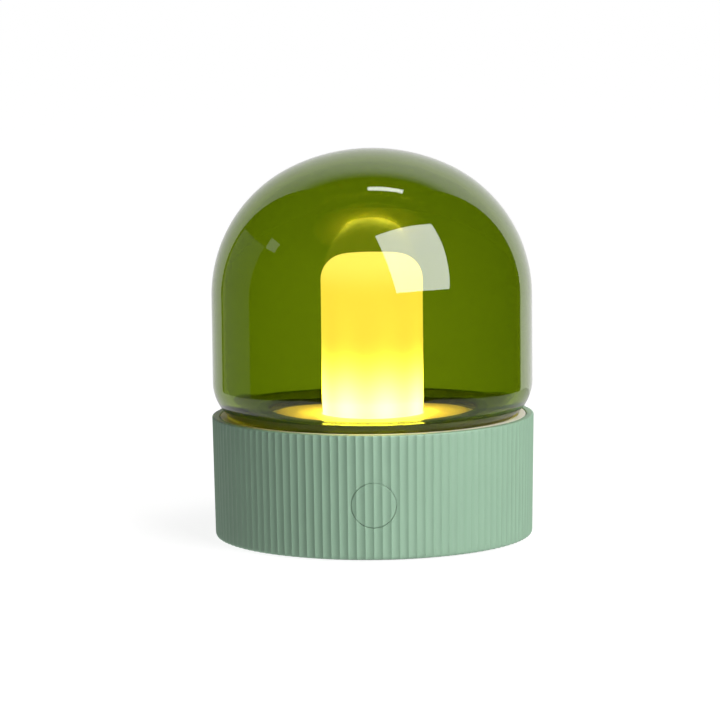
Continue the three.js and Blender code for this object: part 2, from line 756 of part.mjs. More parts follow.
/** The main board with its screws, socket, chips and connectors. */
function boardGroup() {
  const group = new THREE.Group();
  add(group, 'main_board', mainBoard(), 'board');
  const screwSeat = mainBoardTop + touchGap;
  boardPostPlaces().forEach(([x, y], index) => {
    const downwards = screw(boardScrew).rotate([180, 0, 0]);
    add(group, `board_screw_${index + 1}`, downwards, 'steel', [x, y, screwSeat]);
  });
  add(group, 'charging_socket', chargingSocket(), 'steel', [0, socketMouth, socketCentre]);
  const half = [tongue.width / 2, tongue.thickness / 2];
  const blade = block([-half[0], -tongue.back, -half[1]], [half[0], -tongue.front, half[1]]);
  add(group, 'socket_tongue', blade, 'darkPlastic', [0, socketMouth, socketCentre]);
  const middle = (mainBoardFront + mainBoardBack) / 2;
  const top = mainBoardTop + touchGap;
  add(group, 'charge_controller', chip(controllerChip), 'darkPlastic', [controllerChip.x, middle, top]);
  add(group, 'power_inductor', chip(inductorBlock), 'darkPlastic', [inductorBlock.x, middle, top]);
  for (const [name, size] of [['battery_connector', batteryPlug], ['led_connector', ledPlug]]) {
    const body = block([-size.width / 2, 0, 0], [size.width / 2, size.depth, size.height]);
    add(group, name, body, 'natural', [size.x, mainBoardFront + size.behind, top]);
  }
  return group;
}

/** A square block with rounded upright edges, standing on z = 0. */
function chip({ side, height, edge }) {
  return roundedBlock([-side / 2, -side / 2, 0], [side / 2, side / 2, height], edge);
}

/** The push button, its frame, and the switch behind it. */
function buttonGroup() {
  const group = new THREE.Group();
  add(group, 'button_cap', buttonCap(), 'sage');
  add(group, 'button_frame', buttonFrame(), 'darkPlastic');
  const half = switchBoardSize / 2;
  const board = block(
    [-half, switchBoardFront, buttonHeight - half],
    [half, switchBoardFront + boardThickness, buttonHeight + half],
  );
  add(group, 'switch_board', board, 'board');
  add(group, 'switch_body', switchBody(), 'darkPlastic');
  const plunger = rod(plungerRadius, plungerFront, plungerFront + plungerLength, buttonHeight, tinyFacets);
  add(group, 'switch_plunger', plunger, 'natural');
  return group;
}

/** The leads, each from its piece to its connector. */
function leadGroup() {
  const group = new THREE.Group();
  const [, backRow] = cellRows();
  const stripEnd = cellLength / 2 + cellNub.length + stripThickness + 2 * touchGap + leadRadius;
  const connectorTop = mainBoardTop + touchGap + batteryPlug.height / 2;
  const connectorFront = mainBoardFront + batteryPlug.behind - touchGap;
  const ledPlugMiddle = mainBoardFront + ledPlug.behind + ledPlug.depth / 2;
  const ledPlugTop = mainBoardTop + 2 * touchGap + ledPlug.height;
  const overCells = cellHeight + cellRadius + 3;
  for (const [name, side] of [['red', 1], ['black', -1]]) {
    add(group, `battery_lead_${name}`, lead([
      [side * stripEnd, backRow, cellHeight],
      [side * stripEnd, backRow + 6, cellHeight + 2],
      [side * (stripEnd - 8), cellCentreY + cellSpacing + 6, cellHeight + 4],
      [side * 10, mainBoardFront - 6, cellHeight],
      [side * 2, connectorFront - 3, connectorTop],
      [side * 2, connectorFront, connectorTop],
    ]), name);
    add(group, `led_lead_${name}`, lead([
      [ledPlug.x + side * 1.2, ledPlugMiddle, ledPlugTop],
      [ledPlug.x + side * 1.2, ledPlugMiddle, ledPlugTop + 3],
      [ledPlug.x + side * 1.2 - 2, mainBoardFront, overCells + 2],
      [side * 1.4, 2, rimHeight + carrierTop - 9],
      [side * 1.4, 0, rimHeight + carrierTop - 3],
      [side * 1.4, 0, rimHeight + pedestalTop],
    ]), name);
    add(group, `switch_lead_${name}`, lead([
      [side * 1.2, frameBackY + touchGap, buttonHeight],
      [side * 1.2, frameRear + 2, buttonHeight],
      [side * 1.2 - 6, cellCentreY - cellSpacing / 2, overCells],
      [side * 1.2 - 12, cellCentreY + cellSpacing / 2, overCells],
      [side * 1.2 - 14, mainBoardFront, mainBoardTop + 6],
      [side * 1.2 - 11, mainBoardFront + 5.5, mainBoardTop + 3],
      [side * 1.2 - 11, mainBoardFront + 5.5, mainBoardTop + touchGap],
    ]), name);
  }
  return group;
}

const lamp = new THREE.Group();
lamp.add(rimGroup(), housingGroup(), batteryGroup(), boardGroup(), buttonGroup(), leadGroup());

export default lamp;
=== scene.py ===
"""The looks of a rechargeable table lamp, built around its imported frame.

A thick olive glass bell stands mouth down in the rim of a ribbed sage base, over a frosted
candle-shaped diffuser lit by a ring of LEDs. Sizes in the classes are millimetres, and heights
are above the face that the lamp stands on. Each mesh is turned into metres as it is made.
"""

from __future__ import annotations

import json
import logging
import math
from collections.abc import Sequence
from dataclasses import dataclass, field
from enum import Enum
from typing import Any

import bpy
import numpy as np
from mathutils import Matrix, Vector


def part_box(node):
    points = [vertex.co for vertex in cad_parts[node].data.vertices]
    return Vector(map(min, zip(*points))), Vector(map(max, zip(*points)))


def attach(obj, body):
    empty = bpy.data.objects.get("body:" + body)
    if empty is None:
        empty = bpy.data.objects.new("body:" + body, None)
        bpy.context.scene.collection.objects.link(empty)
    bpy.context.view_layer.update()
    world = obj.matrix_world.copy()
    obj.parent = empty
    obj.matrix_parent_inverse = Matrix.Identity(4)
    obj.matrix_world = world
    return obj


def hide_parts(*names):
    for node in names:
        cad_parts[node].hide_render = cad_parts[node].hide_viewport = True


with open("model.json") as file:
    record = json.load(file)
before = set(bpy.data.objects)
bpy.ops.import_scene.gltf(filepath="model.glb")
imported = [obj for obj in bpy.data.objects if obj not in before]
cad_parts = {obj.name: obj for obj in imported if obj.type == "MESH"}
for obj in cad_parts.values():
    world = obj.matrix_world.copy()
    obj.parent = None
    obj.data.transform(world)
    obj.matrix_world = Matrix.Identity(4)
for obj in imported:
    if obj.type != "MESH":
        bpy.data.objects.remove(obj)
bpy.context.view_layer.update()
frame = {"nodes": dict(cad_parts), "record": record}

MM = 0.001
# Millimetres between pieces that rest on each other, and between pieces that lie side by side.
TOUCH_GAP = 0.3
LOOSE_GAP = 0.4
# How far a cutting shape sticks out past the face that it opens, in millimetres.
OVERSHOOT = 1.0
# Points nearer to each other than this, in millimetres, are one point.
SAME_POINT = 1e-6
# The numbers of the screws at the corners of the cover and the board, and of those in the carrier.
CORNER_SCREWS = range(1, 5)
CARRIER_SCREWS = range(1, 4)
COVER_SCREW_LENGTH = 13.0
# How many steps a large ring has once round.
RING_COLUMNS = 256
Colour = tuple[float, float, float]
log = logging.getLogger("lamp")


# ---- Where things are ------------------------------------------------------------------------


def box(node: str) -> tuple[np.ndarray, np.ndarray]:
    """The lowest and highest corners of a CAD node, in millimetres.

    Args:
        node: The node's name.

    Returns:
        Two arrays of three numbers.
    """
    low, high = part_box(node)
    return np.array(low) / MM, np.array(high) / MM


def middle(node: str) -> np.ndarray:
    """The middle of a CAD node's box, in millimetres."""
    low, high = box(node)
    return (low + high) / 2


# ---- Surfaces --------------------------------------------------------------------------------


def arc(centre: Sequence[float], radius: float, start: float, stop: float, steps: int) -> np.ndarray:
    """Points of an arc: centre + radius times (sin a, cos a), with a measured from straight up.

    Args:
        centre: Radius and height of the arc's centre.
        radius: The arc's radius.
        start: First angle, in degrees.
        stop: Last angle, in degrees.
        steps: How many chords the arc has.

    Returns:
        An array of (radius, height) rows.
    """
    angle = np.radians(np.linspace(start, stop, steps + 1))
    return np.asarray(centre) + radius * np.stack([np.sin(angle), np.cos(angle)], axis=1)


def line(start: Sequence[float], stop: Sequence[float], steps: int) -> np.ndarray:
    """Points at equal steps on a straight line from start to stop."""
    share = np.linspace(0.0, 1.0, steps + 1)[:, None]
    return (1 - share) * np.asarray(start, float) + share * np.asarray(stop, float)


def joined(*stretches: Any) -> np.ndarray:
    """One profile of several stretches or single points, with repeated neighbours left out.

    Args:
        stretches: Arrays of points, or single points.

    Returns:
        An array of points.
    """
    points = np.concatenate([np.atleast_2d(np.asarray(part, float)) for part in stretches])
    apart = np.linalg.norm(np.diff(points, axis=0), axis=1) > SAME_POINT
    return points[np.concatenate([[True], apart])]


def rounded(corners: Sequence[Sequence[float]], radius: float, closed: bool, steps: int = 4) -> np.ndarray:
    """A profile of straight lines whose corners are rounded.

    Each corner is left for the curve (1-t)^2 a + 2 t (1-t) corner + t^2 b, whose ends a and b lie
    on its two lines at the radius, or a third of the way along a short line.

    Args:
        corners: The corners, in order.
        radius: How far from a corner its rounding starts.
        closed: Whether the last corner is joined to the first.
        steps: How many chords each rounding has.

    Returns:
        An array of points.
    """
    points = np.asarray(corners, float)
    before = np.roll(points, 1, axis=0) - points
    after = np.roll(points, -1, axis=0) - points
    reach = [np.linalg.norm(side, axis=1) for side in (before, after)]
    cut = np.minimum(radius, np.minimum(reach[0], reach[1]) / 3)[:, None]
    if not closed:
        cut[[0, -1]] = 0.0
    a = points + before / reach[0][:, None] * cut
    b = points + after / reach[1][:, None] * cut
    t = np.linspace(0.0, 1.0, steps + 1)[None, :, None]
    curve = (1 - t) ** 2 * a[:, None] + 2 * t * (1 - t) * points[:, None] + t**2 * b[:, None]
    return joined(curve.reshape(-1, points.shape[1]))


def angles(columns: int) -> np.ndarray:
    """Angles at equal steps once round, in radians."""
    return np.linspace(0.0, 2 * math.pi, columns, endpoint=False)


def turned(radius: np.ndarray, height: np.ndarray, angle: np.ndarray) -> np.ndarray:
    """The grid (r cos a, r sin a, h) of columns of radii and heights, at angles about Z."""
    return np.stack([radius * np.cos(angle), radius * np.sin(angle), height + 0 * angle], axis=-1)


def lathe(profile: np.ndarray, columns: int) -> np.ndarray:
    """The grid of a profile turned about Z: (r cos a, r sin a, h), with a all the way round.

    Args:
        profile: Rows of (radius, height).
        columns: How many steps the turn has.

    Returns:
        An array of shape (rows, columns, 3).
    """
    return turned(profile[:, :1], profile[:, 1:], angles(columns))


def capped(grid: np.ndarray) -> np.ndarray:
    """A grid of rings, closed at both ends by a row at the middle of the end ring."""
    ends = [np.broadcast_to(ring.mean(axis=0), ring.shape)[None] for ring in (grid[0], grid[-1])]
    return np.concatenate([ends[0], grid, ends[1]])


class Axis(Enum):
    """Where a grid's own Z points: the coordinates that it takes, in order, and their signs."""

    UP = ([0, 1, 2], (1, 1, 1))
    DOWN = ([0, 1, 2], (1, -1, -1))
    RIGHT = ([2, 1, 0], (1, 1, -1))


def placed(grid: np.ndarray, at: Sequence[float], axis: Axis = Axis.UP) -> np.ndarray:
    """A grid whose own Z is turned to an axis of the lamp, and which is then moved.

    Args:
        grid: Points, with their last dimension of size 3.
        at: Where the grid's origin goes.
        axis: Where its Z points.

    Returns:
        The grid in its place.
    """
    order, signs = axis.value
    return grid[..., order] * signs + np.asarray(at, float)


def linked(name: str, data: bpy.types.ID) -> bpy.types.Object:
    """A new object of a mesh, light or camera, in the scene and at the origin."""
    made = bpy.data.objects.new(name, data)
    bpy.context.scene.collection.objects.link(made)
    return made


def shaded(mesh: bpy.types.Mesh, sharp: float) -> None:
    """Shades a mesh smooth, except across edges that turn by more than sharp, in degrees."""
    mesh.shade_smooth()
    mesh.set_sharp_from_angle(angle=math.radians(sharp))


def surface(name: str, grid: np.ndarray, ring: bool = False, sharp: float = 35.0) -> bpy.types.Object:
    """A closed mesh of a grid whose columns go round: neighbours are joined by four-sided faces.

    A first or last row that shrinks to a point becomes one vertex. The faces are turned outwards
    by the sign of the volume, the sum of a . (b x c) over the triangles.

    Args:
        name: The object's name.
        grid: Points in millimetres, of shape (rows, columns, 3).
        ring: Whether the last row is joined to the first, as on a torus.
        sharp: The angle in degrees past which an edge is shaded sharp.

    Returns:
        The new object, at the origin.
    """
    rows, columns = grid.shape[:2]
    index = np.arange(rows * columns).reshape(rows, columns)
    if not ring:
        for end in (0, -1):
            if np.ptp(grid[end], axis=0).max() < SAME_POINT:
                index[end] = index[end, 0]
    down = np.roll(index, -1, axis=0) if ring else index[1:]
    up = index if ring else index[:-1]
    quads = np.stack([up, np.roll(up, -1, axis=1), np.roll(down, -1, axis=1), down], axis=2)
    used, quads = np.unique(quads, return_inverse=True)
    quads = quads.reshape(-1, 4)
    points = grid.reshape(-1, 3)[used]
    corners = points[quads]
    volume = sum(
        np.einsum("ij,ij->", corners[:, 0], np.cross(corners[:, i], corners[:, i + 1])) for i in (1, 2)
    )
    if volume < 0:
        quads = quads[:, ::-1]
    whole = (np.diff(np.sort(quads, axis=1), axis=1) > 0).all(axis=1)
    triangles = [list(dict.fromkeys(face)) for face in quads[~whole].tolist()]
    mesh = bpy.data.meshes.new(name)
    mesh.from_pydata(points * MM, [], quads[whole].tolist() + triangles)
    shaded(mesh, sharp)
    return linked(name, mesh)


def hoop(
    name: str, radii: Sequence[float], heights: Sequence[float], rounding: float
) -> bpy.types.Object:
    """A ring about Z with a four-sided section whose corners are rounded.

    Args:
        name: The object's name.
        radii: Its inner and outer radius.
        heights: The heights of its lower and upper face.
        rounding: How far from a corner the rounding starts.

    Returns:
        The new object.
    """
    (inner, outer), (bottom, top) = radii, heights
    section = [(inner, bottom), (outer, bottom), (outer, top), (inner, top)]
    return surface(name, lathe(rounded(section, rounding, closed=True), RING_COLUMNS), ring=True)


class Cut(Enum):
    """How a tool shape changes a piece."""

    AWAY = "DIFFERENCE"
    ON = "UNION"


def shaped(
    piece: bpy.types.Object, tools: Sequence[bpy.types.Object], cut: Cut, sharp: float = 35.0
) -> None:
    """Cuts tool shapes out of a piece, or joins them on, and removes the tools.

    Args:
        piece: The piece that is changed.
        tools: The tool shapes.
        cut: Whether they are taken away or joined on.
        sharp: The angle in degrees past which an edge is shaded sharp.
    """
    for tool in tools:
        modifier = piece.modifiers.new("cut", "BOOLEAN")
        modifier.operation = cut.value
        modifier.solver = "MANIFOLD"
        modifier.object = tool
    bpy.context.view_layer.update()
    evaluated = piece.evaluated_get(bpy.context.evaluated_depsgraph_get())
    mesh = bpy.data.meshes.new_from_object(evaluated)
    piece.modifiers.clear()
    old, piece.data = piece.data, mesh
    mesh.name = piece.name
    shaded(mesh, sharp)
    bpy.data.meshes.remove(old)
    for tool in tools:
        bpy.data.meshes.remove(tool.data)


def pillar(
    at: Sequence[float], radius: float, bottom: float, top: float, columns: int = 48
) -> bpy.types.Object:
    """An upright round tool shape.

    Args:
        at: X and Y of its axis.
        radius: Its radius.
        bottom: Height of its lower face.
        top: Height of its upper face.
        columns: How many sides it has.

    Returns:
        The new object.
    """
    profile = np.array([[0, bottom], [radius, bottom], [radius, top], [0, top]], float)
    return surface("pillar", placed(lathe(profile, columns), (at[0], at[1], 0)))


# ---- Shader maths ----------------------------------------------------------------------------


class Value:
    """A number that varies over a surface. Arithmetic on it adds Math nodes."""

    def __init__(self, shader: Shader, socket: bpy.types.NodeSocket) -> None:
        """Wraps an output socket of a shader's node."""
        self.shader = shader
        self.socket = socket

    def _maths(self, operation: str, *terms: Value | float) -> Value:
        """The value of a Math node on the given terms."""
        sockets = dict(enumerate(terms))
        return self.shader.node("ShaderNodeMath", {"operation": operation}, sockets)["Value"]

    def __add__(self, other: Value | float) -> Value:
        """Adds."""
        return self._maths("ADD", self, other)

    def __sub__(self, other: Value | float) -> Value:
        """Takes away."""
        return self._maths("SUBTRACT", self, other)

    def __rsub__(self, other: float) -> Value:
        """Takes this value away from a number."""
        return self._maths("SUBTRACT", other, self)

    def __mul__(self, other: Value | float) -> Value:
        """Multiplies."""
        return self._maths("MULTIPLY", self, other)

    def __truediv__(self, other: Value | float) -> Value:
        """Divides."""
        return self._maths("DIVIDE", self, other)

    def __rtruediv__(self, other: float) -> Value:
        """Divides a number by this value."""
        return self._maths("DIVIDE", other, self)

    def __pow__(self, other: float) -> Value:
        """Raises to a power."""
        return self._maths("POWER", self, other)

    __radd__ = __add__
    __rmul__ = __mul__

    def swing(self, amount: float) -> Value:
        """A value from 0 to 1 as a swing about zero, of that amount from end to end."""
        return (self - 0.5) * amount

    def between(self, low: float, high: float) -> Value:
        """How far the value is from low to high, smoothly, kept between 0 and 1."""
        sockets = {"Value": self, "From Min": low, "From Max": high}
        settings = {"interpolation_type": "SMOOTHSTEP"}
        return self.shader.node("ShaderNodeMapRange", settings, sockets)["Result"]

    def sine(self) -> Value:
        """The sine of the value, in radians."""
        return self._maths("SINE", self)

    def size(self) -> Value:
        """The value without its sign."""
        return self._maths("ABSOLUTE", self)


class Outputs:
    """The outputs of a node, as values by name."""

    def __init__(self, shader: Shader, node: bpy.types.Node) -> None:
        """Wraps a node of a shader."""
        self.shader = shader
        self.node = node

    def __getitem__(self, name: str) -> Value:
        """The output of that name that is in use."""
        found = [socket for socket in self.node.outputs if socket.name == name and socket.enabled]
        return Value(self.shader, found[0])


class Shader:
    """The nodes of one material, around one Principled shader."""

    def __init__(self, name: str) -> None:
        """Makes an empty material of that name, with its Principled shader and output."""
        self.material = bpy.data.materials.new(name)
        self.material.use_nodes = True
        self.tree = self.material.node_tree
        self.tree.nodes.clear()
        self.output = self.tree.nodes.new("ShaderNodeOutputMaterial")
        self.principled = self.tree.nodes.new("ShaderNodeBsdfPrincipled")
        self.tree.links.new(self.principled.outputs["BSDF"], self.output.inputs["Surface"])

    def plug(self, node: bpy.types.Node, key: str | int, value: Any) -> None:
        """Links a value to a node's input that is in use, or sets the input to a plain number."""
        if isinstance(key, int):
            socket = node.inputs[key]
        else:
            socket = [s for s in node.inputs if s.name == key and s.enabled][0]
        if isinstance(value, Value):
            self.tree.links.new(value.socket, socket)
        elif isinstance(value, tuple) and len(value) == 3 and socket.type == "RGBA":
            socket.default_value = (*value, 1.0)
        else:
            socket.default_value = value

    def node(self, kind: str, settings: dict[str, Any], sockets: dict[str | int, Any]) -> Outputs:
        """Adds a node.

        Args:
            kind: The node's type.
            settings: Its own settings. "stops" is a ramp's list of (place, colour).
            sockets: Numbers, colours or values for its inputs, by name or place.

        Returns:
            The node's outputs.
        """
        made = self.tree.nodes.new(kind)
        for name, value in settings.items():
            if name == "stops":
                stops = made.color_ramp.elements
                while len(stops) < len(value):
                    stops.new(1.0)
                for stop, (place, colour) in zip(stops, value):
                    stop.position = place
                    stop.color = (*colour, 1.0)
            else:
                setattr(made, name, value)
        for key, value in sockets.items():
            self.plug(made, key, value)
        return Outputs(self, made)

    def finish(self, **sockets: Any) -> bpy.types.Material:
        """Sets the Principled shader's inputs, with _ for a space in a name, and gives the material."""
        for name, value in sockets.items():
            self.plug(self.principled, name.replace("_", " "), value)
        return self.material

    def place(self) -> Value:
        """The point's place on the piece, in metres."""
        return self.node("ShaderNodeTexCoord", {}, {})["Object"]

    def axes(self) -> tuple[Value, Value, Value]:
        """The point's X, Y and Z on the piece, in metres."""
        parts = self.node("ShaderNodeSeparateXYZ", {}, {"Vector": self.place()})
        return parts["X"], parts["Y"], parts["Z"]

    def noise(self, grain: float, detail: float = 3.0, stretch: Colour = (1, 1, 1)) -> Value:
        """Noise from 0 to 1.

        Args:
            grain: The size of its grains, in millimetres.
            detail: How many finer layers it has.
            stretch: How much finer the grains are along X, Y and Z.

        Returns:
            The noise's value.
        """
        mapped = self.node("ShaderNodeMapping", {}, {"Vector": self.place(), "Scale": stretch})["Vector"]
        sockets = {"Vector": mapped, "Scale": 1 / (grain * MM), "Detail": detail}
        return self.node("ShaderNodeTexNoise", {}, sockets)["Fac"]

    def mix(self, share: Value | float, first: Any, second: Any) -> Value:
        """The colour that goes from first to second as share goes from 0 to 1."""
        sockets = {"Factor": share, "A": first, "B": second}
        return self.node("ShaderNodeMix", {"data_type": "RGBA"}, sockets)["Result"]

    def bump(self, height: Value, depth: float) -> Value:
        """A normal that follows a height.

        Args:
            height: The height, from 0 to 1.
            depth: What a height of 1 stands for, in millimetres.

        Returns:
            The normal.
        """
        return self.node("ShaderNodeBump", {}, {"Height": height, "Distance": depth * MM})["Normal"]


# ---- Finishes --------------------------------------------------------------------------------


def dimmed(colour: Colour, share: float) -> Colour:
    """A colour whose channels are times a share, and no more than 1."""
    return tuple(min(1.0, channel * share) for channel in colour)


@dataclass(frozen=True)
class Finish:
    """What a surface is made of. Each kind writes its own shader."""

    colour: Colour

    def material(self, name: str) -> bpy.types.Material:
        """The finish as a material of that name."""
        raise NotImplementedError


@dataclass(frozen=True)
class MattPlastic(Finish):
    """Moulded plastic: a fine eroded grain, and a tone that drifts a little over the piece."""

    roughness: float = 0.55
    grain: float = 0.35
    relief: float = 0.02
    drift: float = 0.05

    def material(self, name: str) -> bpy.types.Material:
        """Colour and roughness follow slow noise, and the normal follows the fine grain."""
        shader = Shader(name)
        slow = shader.noise(18.0, 4.0)
        fine = shader.noise(self.grain, 2.0)
        dark, light = (dimmed(self.colour, 1 + drift) for drift in (-self.drift, self.drift))
        return shader.finish(
            Base_Color=shader.mix(slow * 0.7 + fine * 0.3, dark, light),
            Roughness=self.roughness + fine.swing(0.16) + slow.swing(0.1),
            Normal=shader.bump(fine, self.relief),
        )


@dataclass(frozen=True)
class OliveGlass(Finish):
    """Thick coloured glass: clear at its faces, with its colour from what it absorbs inside."""

    tint: Colour = (0.6, 0.66, 0.18)
    density: float = 300.0
    index: float = 1.5
    unevenness: float = 0.012

    def material(self, name: str) -> bpy.types.Material:
        """Transmission at the faces, absorption inside, and a faint unevenness of polish."""
        shader = Shader(name)
        uneven = shader.noise(24.0, 2.0)
        sockets = {"Color": self.colour, "Density": self.density}
        inside = shader.node("ShaderNodeVolumeAbsorption", {}, sockets)["Volume"]
        shader.plug(shader.output, "Volume", inside)
        return shader.finish(
            Base_Color=self.tint,
            Transmission_Weight=1.0,
            IOR=self.index,
            Roughness=uneven * self.unevenness,
            Normal=shader.bump(uneven, self.unevenness),
        )


@dataclass(frozen=True)
class OpalGlow(Finish):
    """A frosted diffuser lit from its foot by a ring of LEDs.

    The pool of light at the foot ends at the share pool of the height, the crown's colour starts
    at the share crown_start, even is the share of the pool that is the same all the way round,
    and streak is what the LEDs add above it.
    """

    foot: float = 53.3
    top: float = 123.0
    leds: int = 8
    phase: float = 15.0
    pool: float = 0.55
    crown_start: float = 0.75
    even: float = 0.72
    streak: float = 0.012
    strength: float = 36.0
    crown: Colour = (0.1, 0.059, 0.088)
    body: Colour = (0.084, 0.047, 0.04)
    hot: Colour = (1.0, 0.68, 0.6)
    frosting: Colour = (0.9, 0.88, 0.82)

    def material(self, name: str) -> bpy.types.Material:
        """The glow falls off with height, swells at each LED, and lifts at the crown."""
        shader = Shader(name)
        x, y, z = shader.axes()
        height = (z / MM - self.foot) / (self.top - self.foot)
        turn = shader.node("ShaderNodeMath", {"operation": "ARCTAN2"}, {0: y, 1: x})["Value"]
        waves = ((turn - math.radians(self.phase)) * self.leds + math.pi / 2).sine()
        near = (1 - height.between(0.0, self.pool)) ** 2.0
        swell = (0.5 + waves * 0.5) * (1 - height.between(0.1, 0.9))
        body = shader.mix(height.between(self.crown_start, 1.0), self.body, self.crown)
        share = near * (self.even + swell * (1 - self.even)) + swell * self.streak
        frost = shader.noise(0.5, 2.0)
        return shader.finish(
            Base_Color=shader.mix(frost, self.colour, self.frosting),
            Roughness=0.42 + frost * 0.16,
            Emission_Color=shader.mix(share, body, self.hot),
            Emission_Strength=self.strength,
            Normal=shader.bump(frost, 0.01),
        )


@dataclass(frozen=True)
class Metal(Finish):
    """Metal, with fine scratches along one direction or a satin coat."""

    roughness: float = 0.35
    metallic: float = 1.0
    scratch: Colour = (1, 1, 1)
    relief: float = 0.006

    def material(self, name: str) -> bpy.types.Material:
        """Roughness and tone follow stretched noise."""
        shader = Shader(name)
        lines = shader.noise(0.6, 3.0, self.scratch)
        stain = shader.noise(9.0, 3.0)
        return shader.finish(
            Base_Color=shader.mix(lines * 0.5 + stain * 0.5, dimmed(self.colour, 0.86), self.colour),
            Metallic=self.metallic,
            Roughness=self.roughness + lines.swing(0.2) + stain.swing(0.1),
            Normal=shader.bump(lines, self.relief),
        )


@dataclass(frozen=True)
class Rubber(Finish):
    """Soft moulding: dull, with a bloom of dust in its pores."""

    bloom: Colour = (0.3, 0.3, 0.3)
    roughness: float = 0.82

    def material(self, name: str) -> bpy.types.Material:
        """Pores darken the tone and dent the surface."""
        shader = Shader(name)
        pores = shader.noise(0.5, 4.0)
        dust = shader.noise(6.0, 3.0).between(0.45, 0.8)
        return shader.finish(
            Base_Color=shader.mix(dust * 0.35, self.colour, self.bloom),
            Roughness=self.roughness + pores.swing(0.2),
            Normal=shader.bump(pores, 0.03),
        )


@dataclass(frozen=True)
class Board(Finish):
    """A circuit board: solder mask over copper tracks, with tinned pads."""

    track: Colour = (0.05, 0.22, 0.12)
    pad: Colour = (0.72, 0.7, 0.62)
    pitch: float = 2.4

    def material(self, name: str) -> bpy.types.Material:
        """Tracks are thin bands of a warped wave, and pads are round cells of a grid."""
        shader = Shader(name)
        x, y, _ = shader.axes()
        warp = shader.noise(7.0, 0.0)
        bands = ((x / MM + warp * 6.0) * (2 * math.pi / self.pitch)).sine().size()
        tracks = 1 - bands.between(0.25, 0.4)
        across, along = ((axis * (math.pi / (2 * self.pitch * MM))).sine() ** 2 for axis in (x, y))
        pads = (across * along).between(0.9, 0.94)
        mask = shader.mix(tracks, self.colour, self.track)
        return shader.finish(
            Base_Color=shader.mix(pads, mask, self.pad),
            Metallic=pads * 0.9,
            Roughness=0.32 + warp * 0.12,
            Coat_Weight=0.4,
            Normal=shader.bump(tracks * 0.5 + pads * 0.5, 0.03),
        )


@dataclass(frozen=True)
class Film(Finish):
    """Glossy film or lead insulation, with faint lengthwise flow lines."""

    roughness: float = 0.28
    stretch: Colour = (0.15, 1, 1)

    def material(self, name: str) -> bpy.types.Material:
        """Flow lines change the tone and the gloss a little."""
        shader = Shader(name)
        flow = shader.noise(1.2, 2.0, self.stretch)
        return shader.finish(
            Base_Color=shader.mix(flow, dimmed(self.colour, 0.82), self.colour),
            Roughness=self.roughness + flow.swing(0.15),
            Coat_Weight=0.3,
            Normal=shader.bump(flow, 0.01),
        )


@dataclass(frozen=True)
class Phosphor(Finish):
    """An LED's phosphor window, glowing in its white frame."""

    glow: Colour = (1.0, 0.72, 0.32)
    pale: Colour = (0.98, 0.9, 0.6)
    strength: float = 30.0

    def material(self, name: str) -> bpy.types.Material:
        """Fine grains of phosphor mottle the window and its glow."""
        shader = Shader(name)
        grains = shader.noise(0.12, 2.0)
        return shader.finish(
            Base_Color=shader.mix(grains, self.colour, self.pale),
            Roughness=0.25 + grains * 0.15,
            Emission_Color=shader.mix(grains, self.glow, self.pale),
            Emission_Strength=self.strength,
        )


class Slot(Enum):
    """The record's material slots, each with its finish."""

    OLIVE_GLASS = ("olive_glass", OliveGlass((0.656, 0.726, 0.1)))
    SAGE_PLASTIC = ("sage_plastic", MattPlastic((0.28, 0.45, 0.315), roughness=0.5))
    OFF_WHITE_PLASTIC = ("off_white_plastic", MattPlastic((0.86, 0.83, 0.74), roughness=0.5))
    GOLD_REFLECTOR = ("gold_reflector", Metal((0.95, 0.72, 0.4), roughness=0.45, metallic=0.3, relief=0.004))
    OPAL_DIFFUSER = ("opal_diffuser", OpalGlow((0.82, 0.8, 0.74)))
    # The gasket's near-black tone is partly the rubber's own colour and partly painted shade, darkening the
    # band seen through the glass's lip.
    SILICONE = ("silicone", Rubber((0.035, 0.037, 0.033), bloom=(0.1, 0.1, 0.1), roughness=0.6))
    FOOT_RUBBER = ("foot_rubber", Rubber((0.03, 0.032, 0.035), bloom=(0.12, 0.12, 0.12)))
    DARK_PLASTIC = (
        "dark_plastic", MattPlastic((0.035, 0.037, 0.04), roughness=0.5, relief=0.03, drift=0.15)
    )
    NATURAL_PLASTIC = ("natural_plastic", MattPlastic((0.72, 0.68, 0.56), roughness=0.45))
    ALUMINIUM = ("aluminium", Metal((0.72, 0.73, 0.74), roughness=0.38, scratch=(0.08, 1, 1)))
    STEEL = ("steel", Metal((0.62, 0.62, 0.64), roughness=0.28, scratch=(1, 1, 0.2)))
    GREEN_BOARD = ("green_board", Board((0.02, 0.12, 0.06)))
    WHITE_BOARD = ("white_board", Board((0.8, 0.8, 0.77), track=(0.7, 0.7, 0.66), pitch=3.0))
    LED_PHOSPHOR = ("led_phosphor", Phosphor((0.95, 0.7, 0.2)))
    CELL_WRAP = ("cell_wrap", Film((0.035, 0.14, 0.36)))
    RED_INSULATION = ("red_insulation", Film((0.5, 0.02, 0.015)))
    BLACK_INSULATION = ("black_insulation", Film((0.012, 0.012, 0.013)))

    def __init__(self, slot: str, finish: Finish) -> None:
        """Keeps the record's name and the finish apart."""
        self.slot = slot
        self.finish = finish

    def material(self) -> bpy.types.Material:
        """The slot's material, made the first time that it is asked for."""
        name = f"{self.slot}.finish"
        return bpy.data.materials.get(name) or self.finish.material(name)


# ---- Pieces ----------------------------------------------------------------------------------


class Body(Enum):
    """The frame's bodies."""

    BASE = "base"
    BELL = "bell"
    BUTTON = "button"


def dressed(piece: bpy.types.Object, slot: Slot, body: Body, *nodes: str) -> bpy.types.Object:
    """Gives a new piece its material, its body and the CAD nodes that it stands for.

    Args:
        piece: The new piece.
        slot: The record's material slot.
        body: The body that it rides on.
        nodes: The CAD nodes that it replaces.

    Returns:
        The piece.
    """
    piece.data.materials.clear()
    piece.data.materials.append(slot.material())
    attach(piece, body.value)
    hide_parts(*nodes)
    log.info("%s rides on %s, %d faces", piece.name, body.value, len(piece.data.polygons))
    return piece


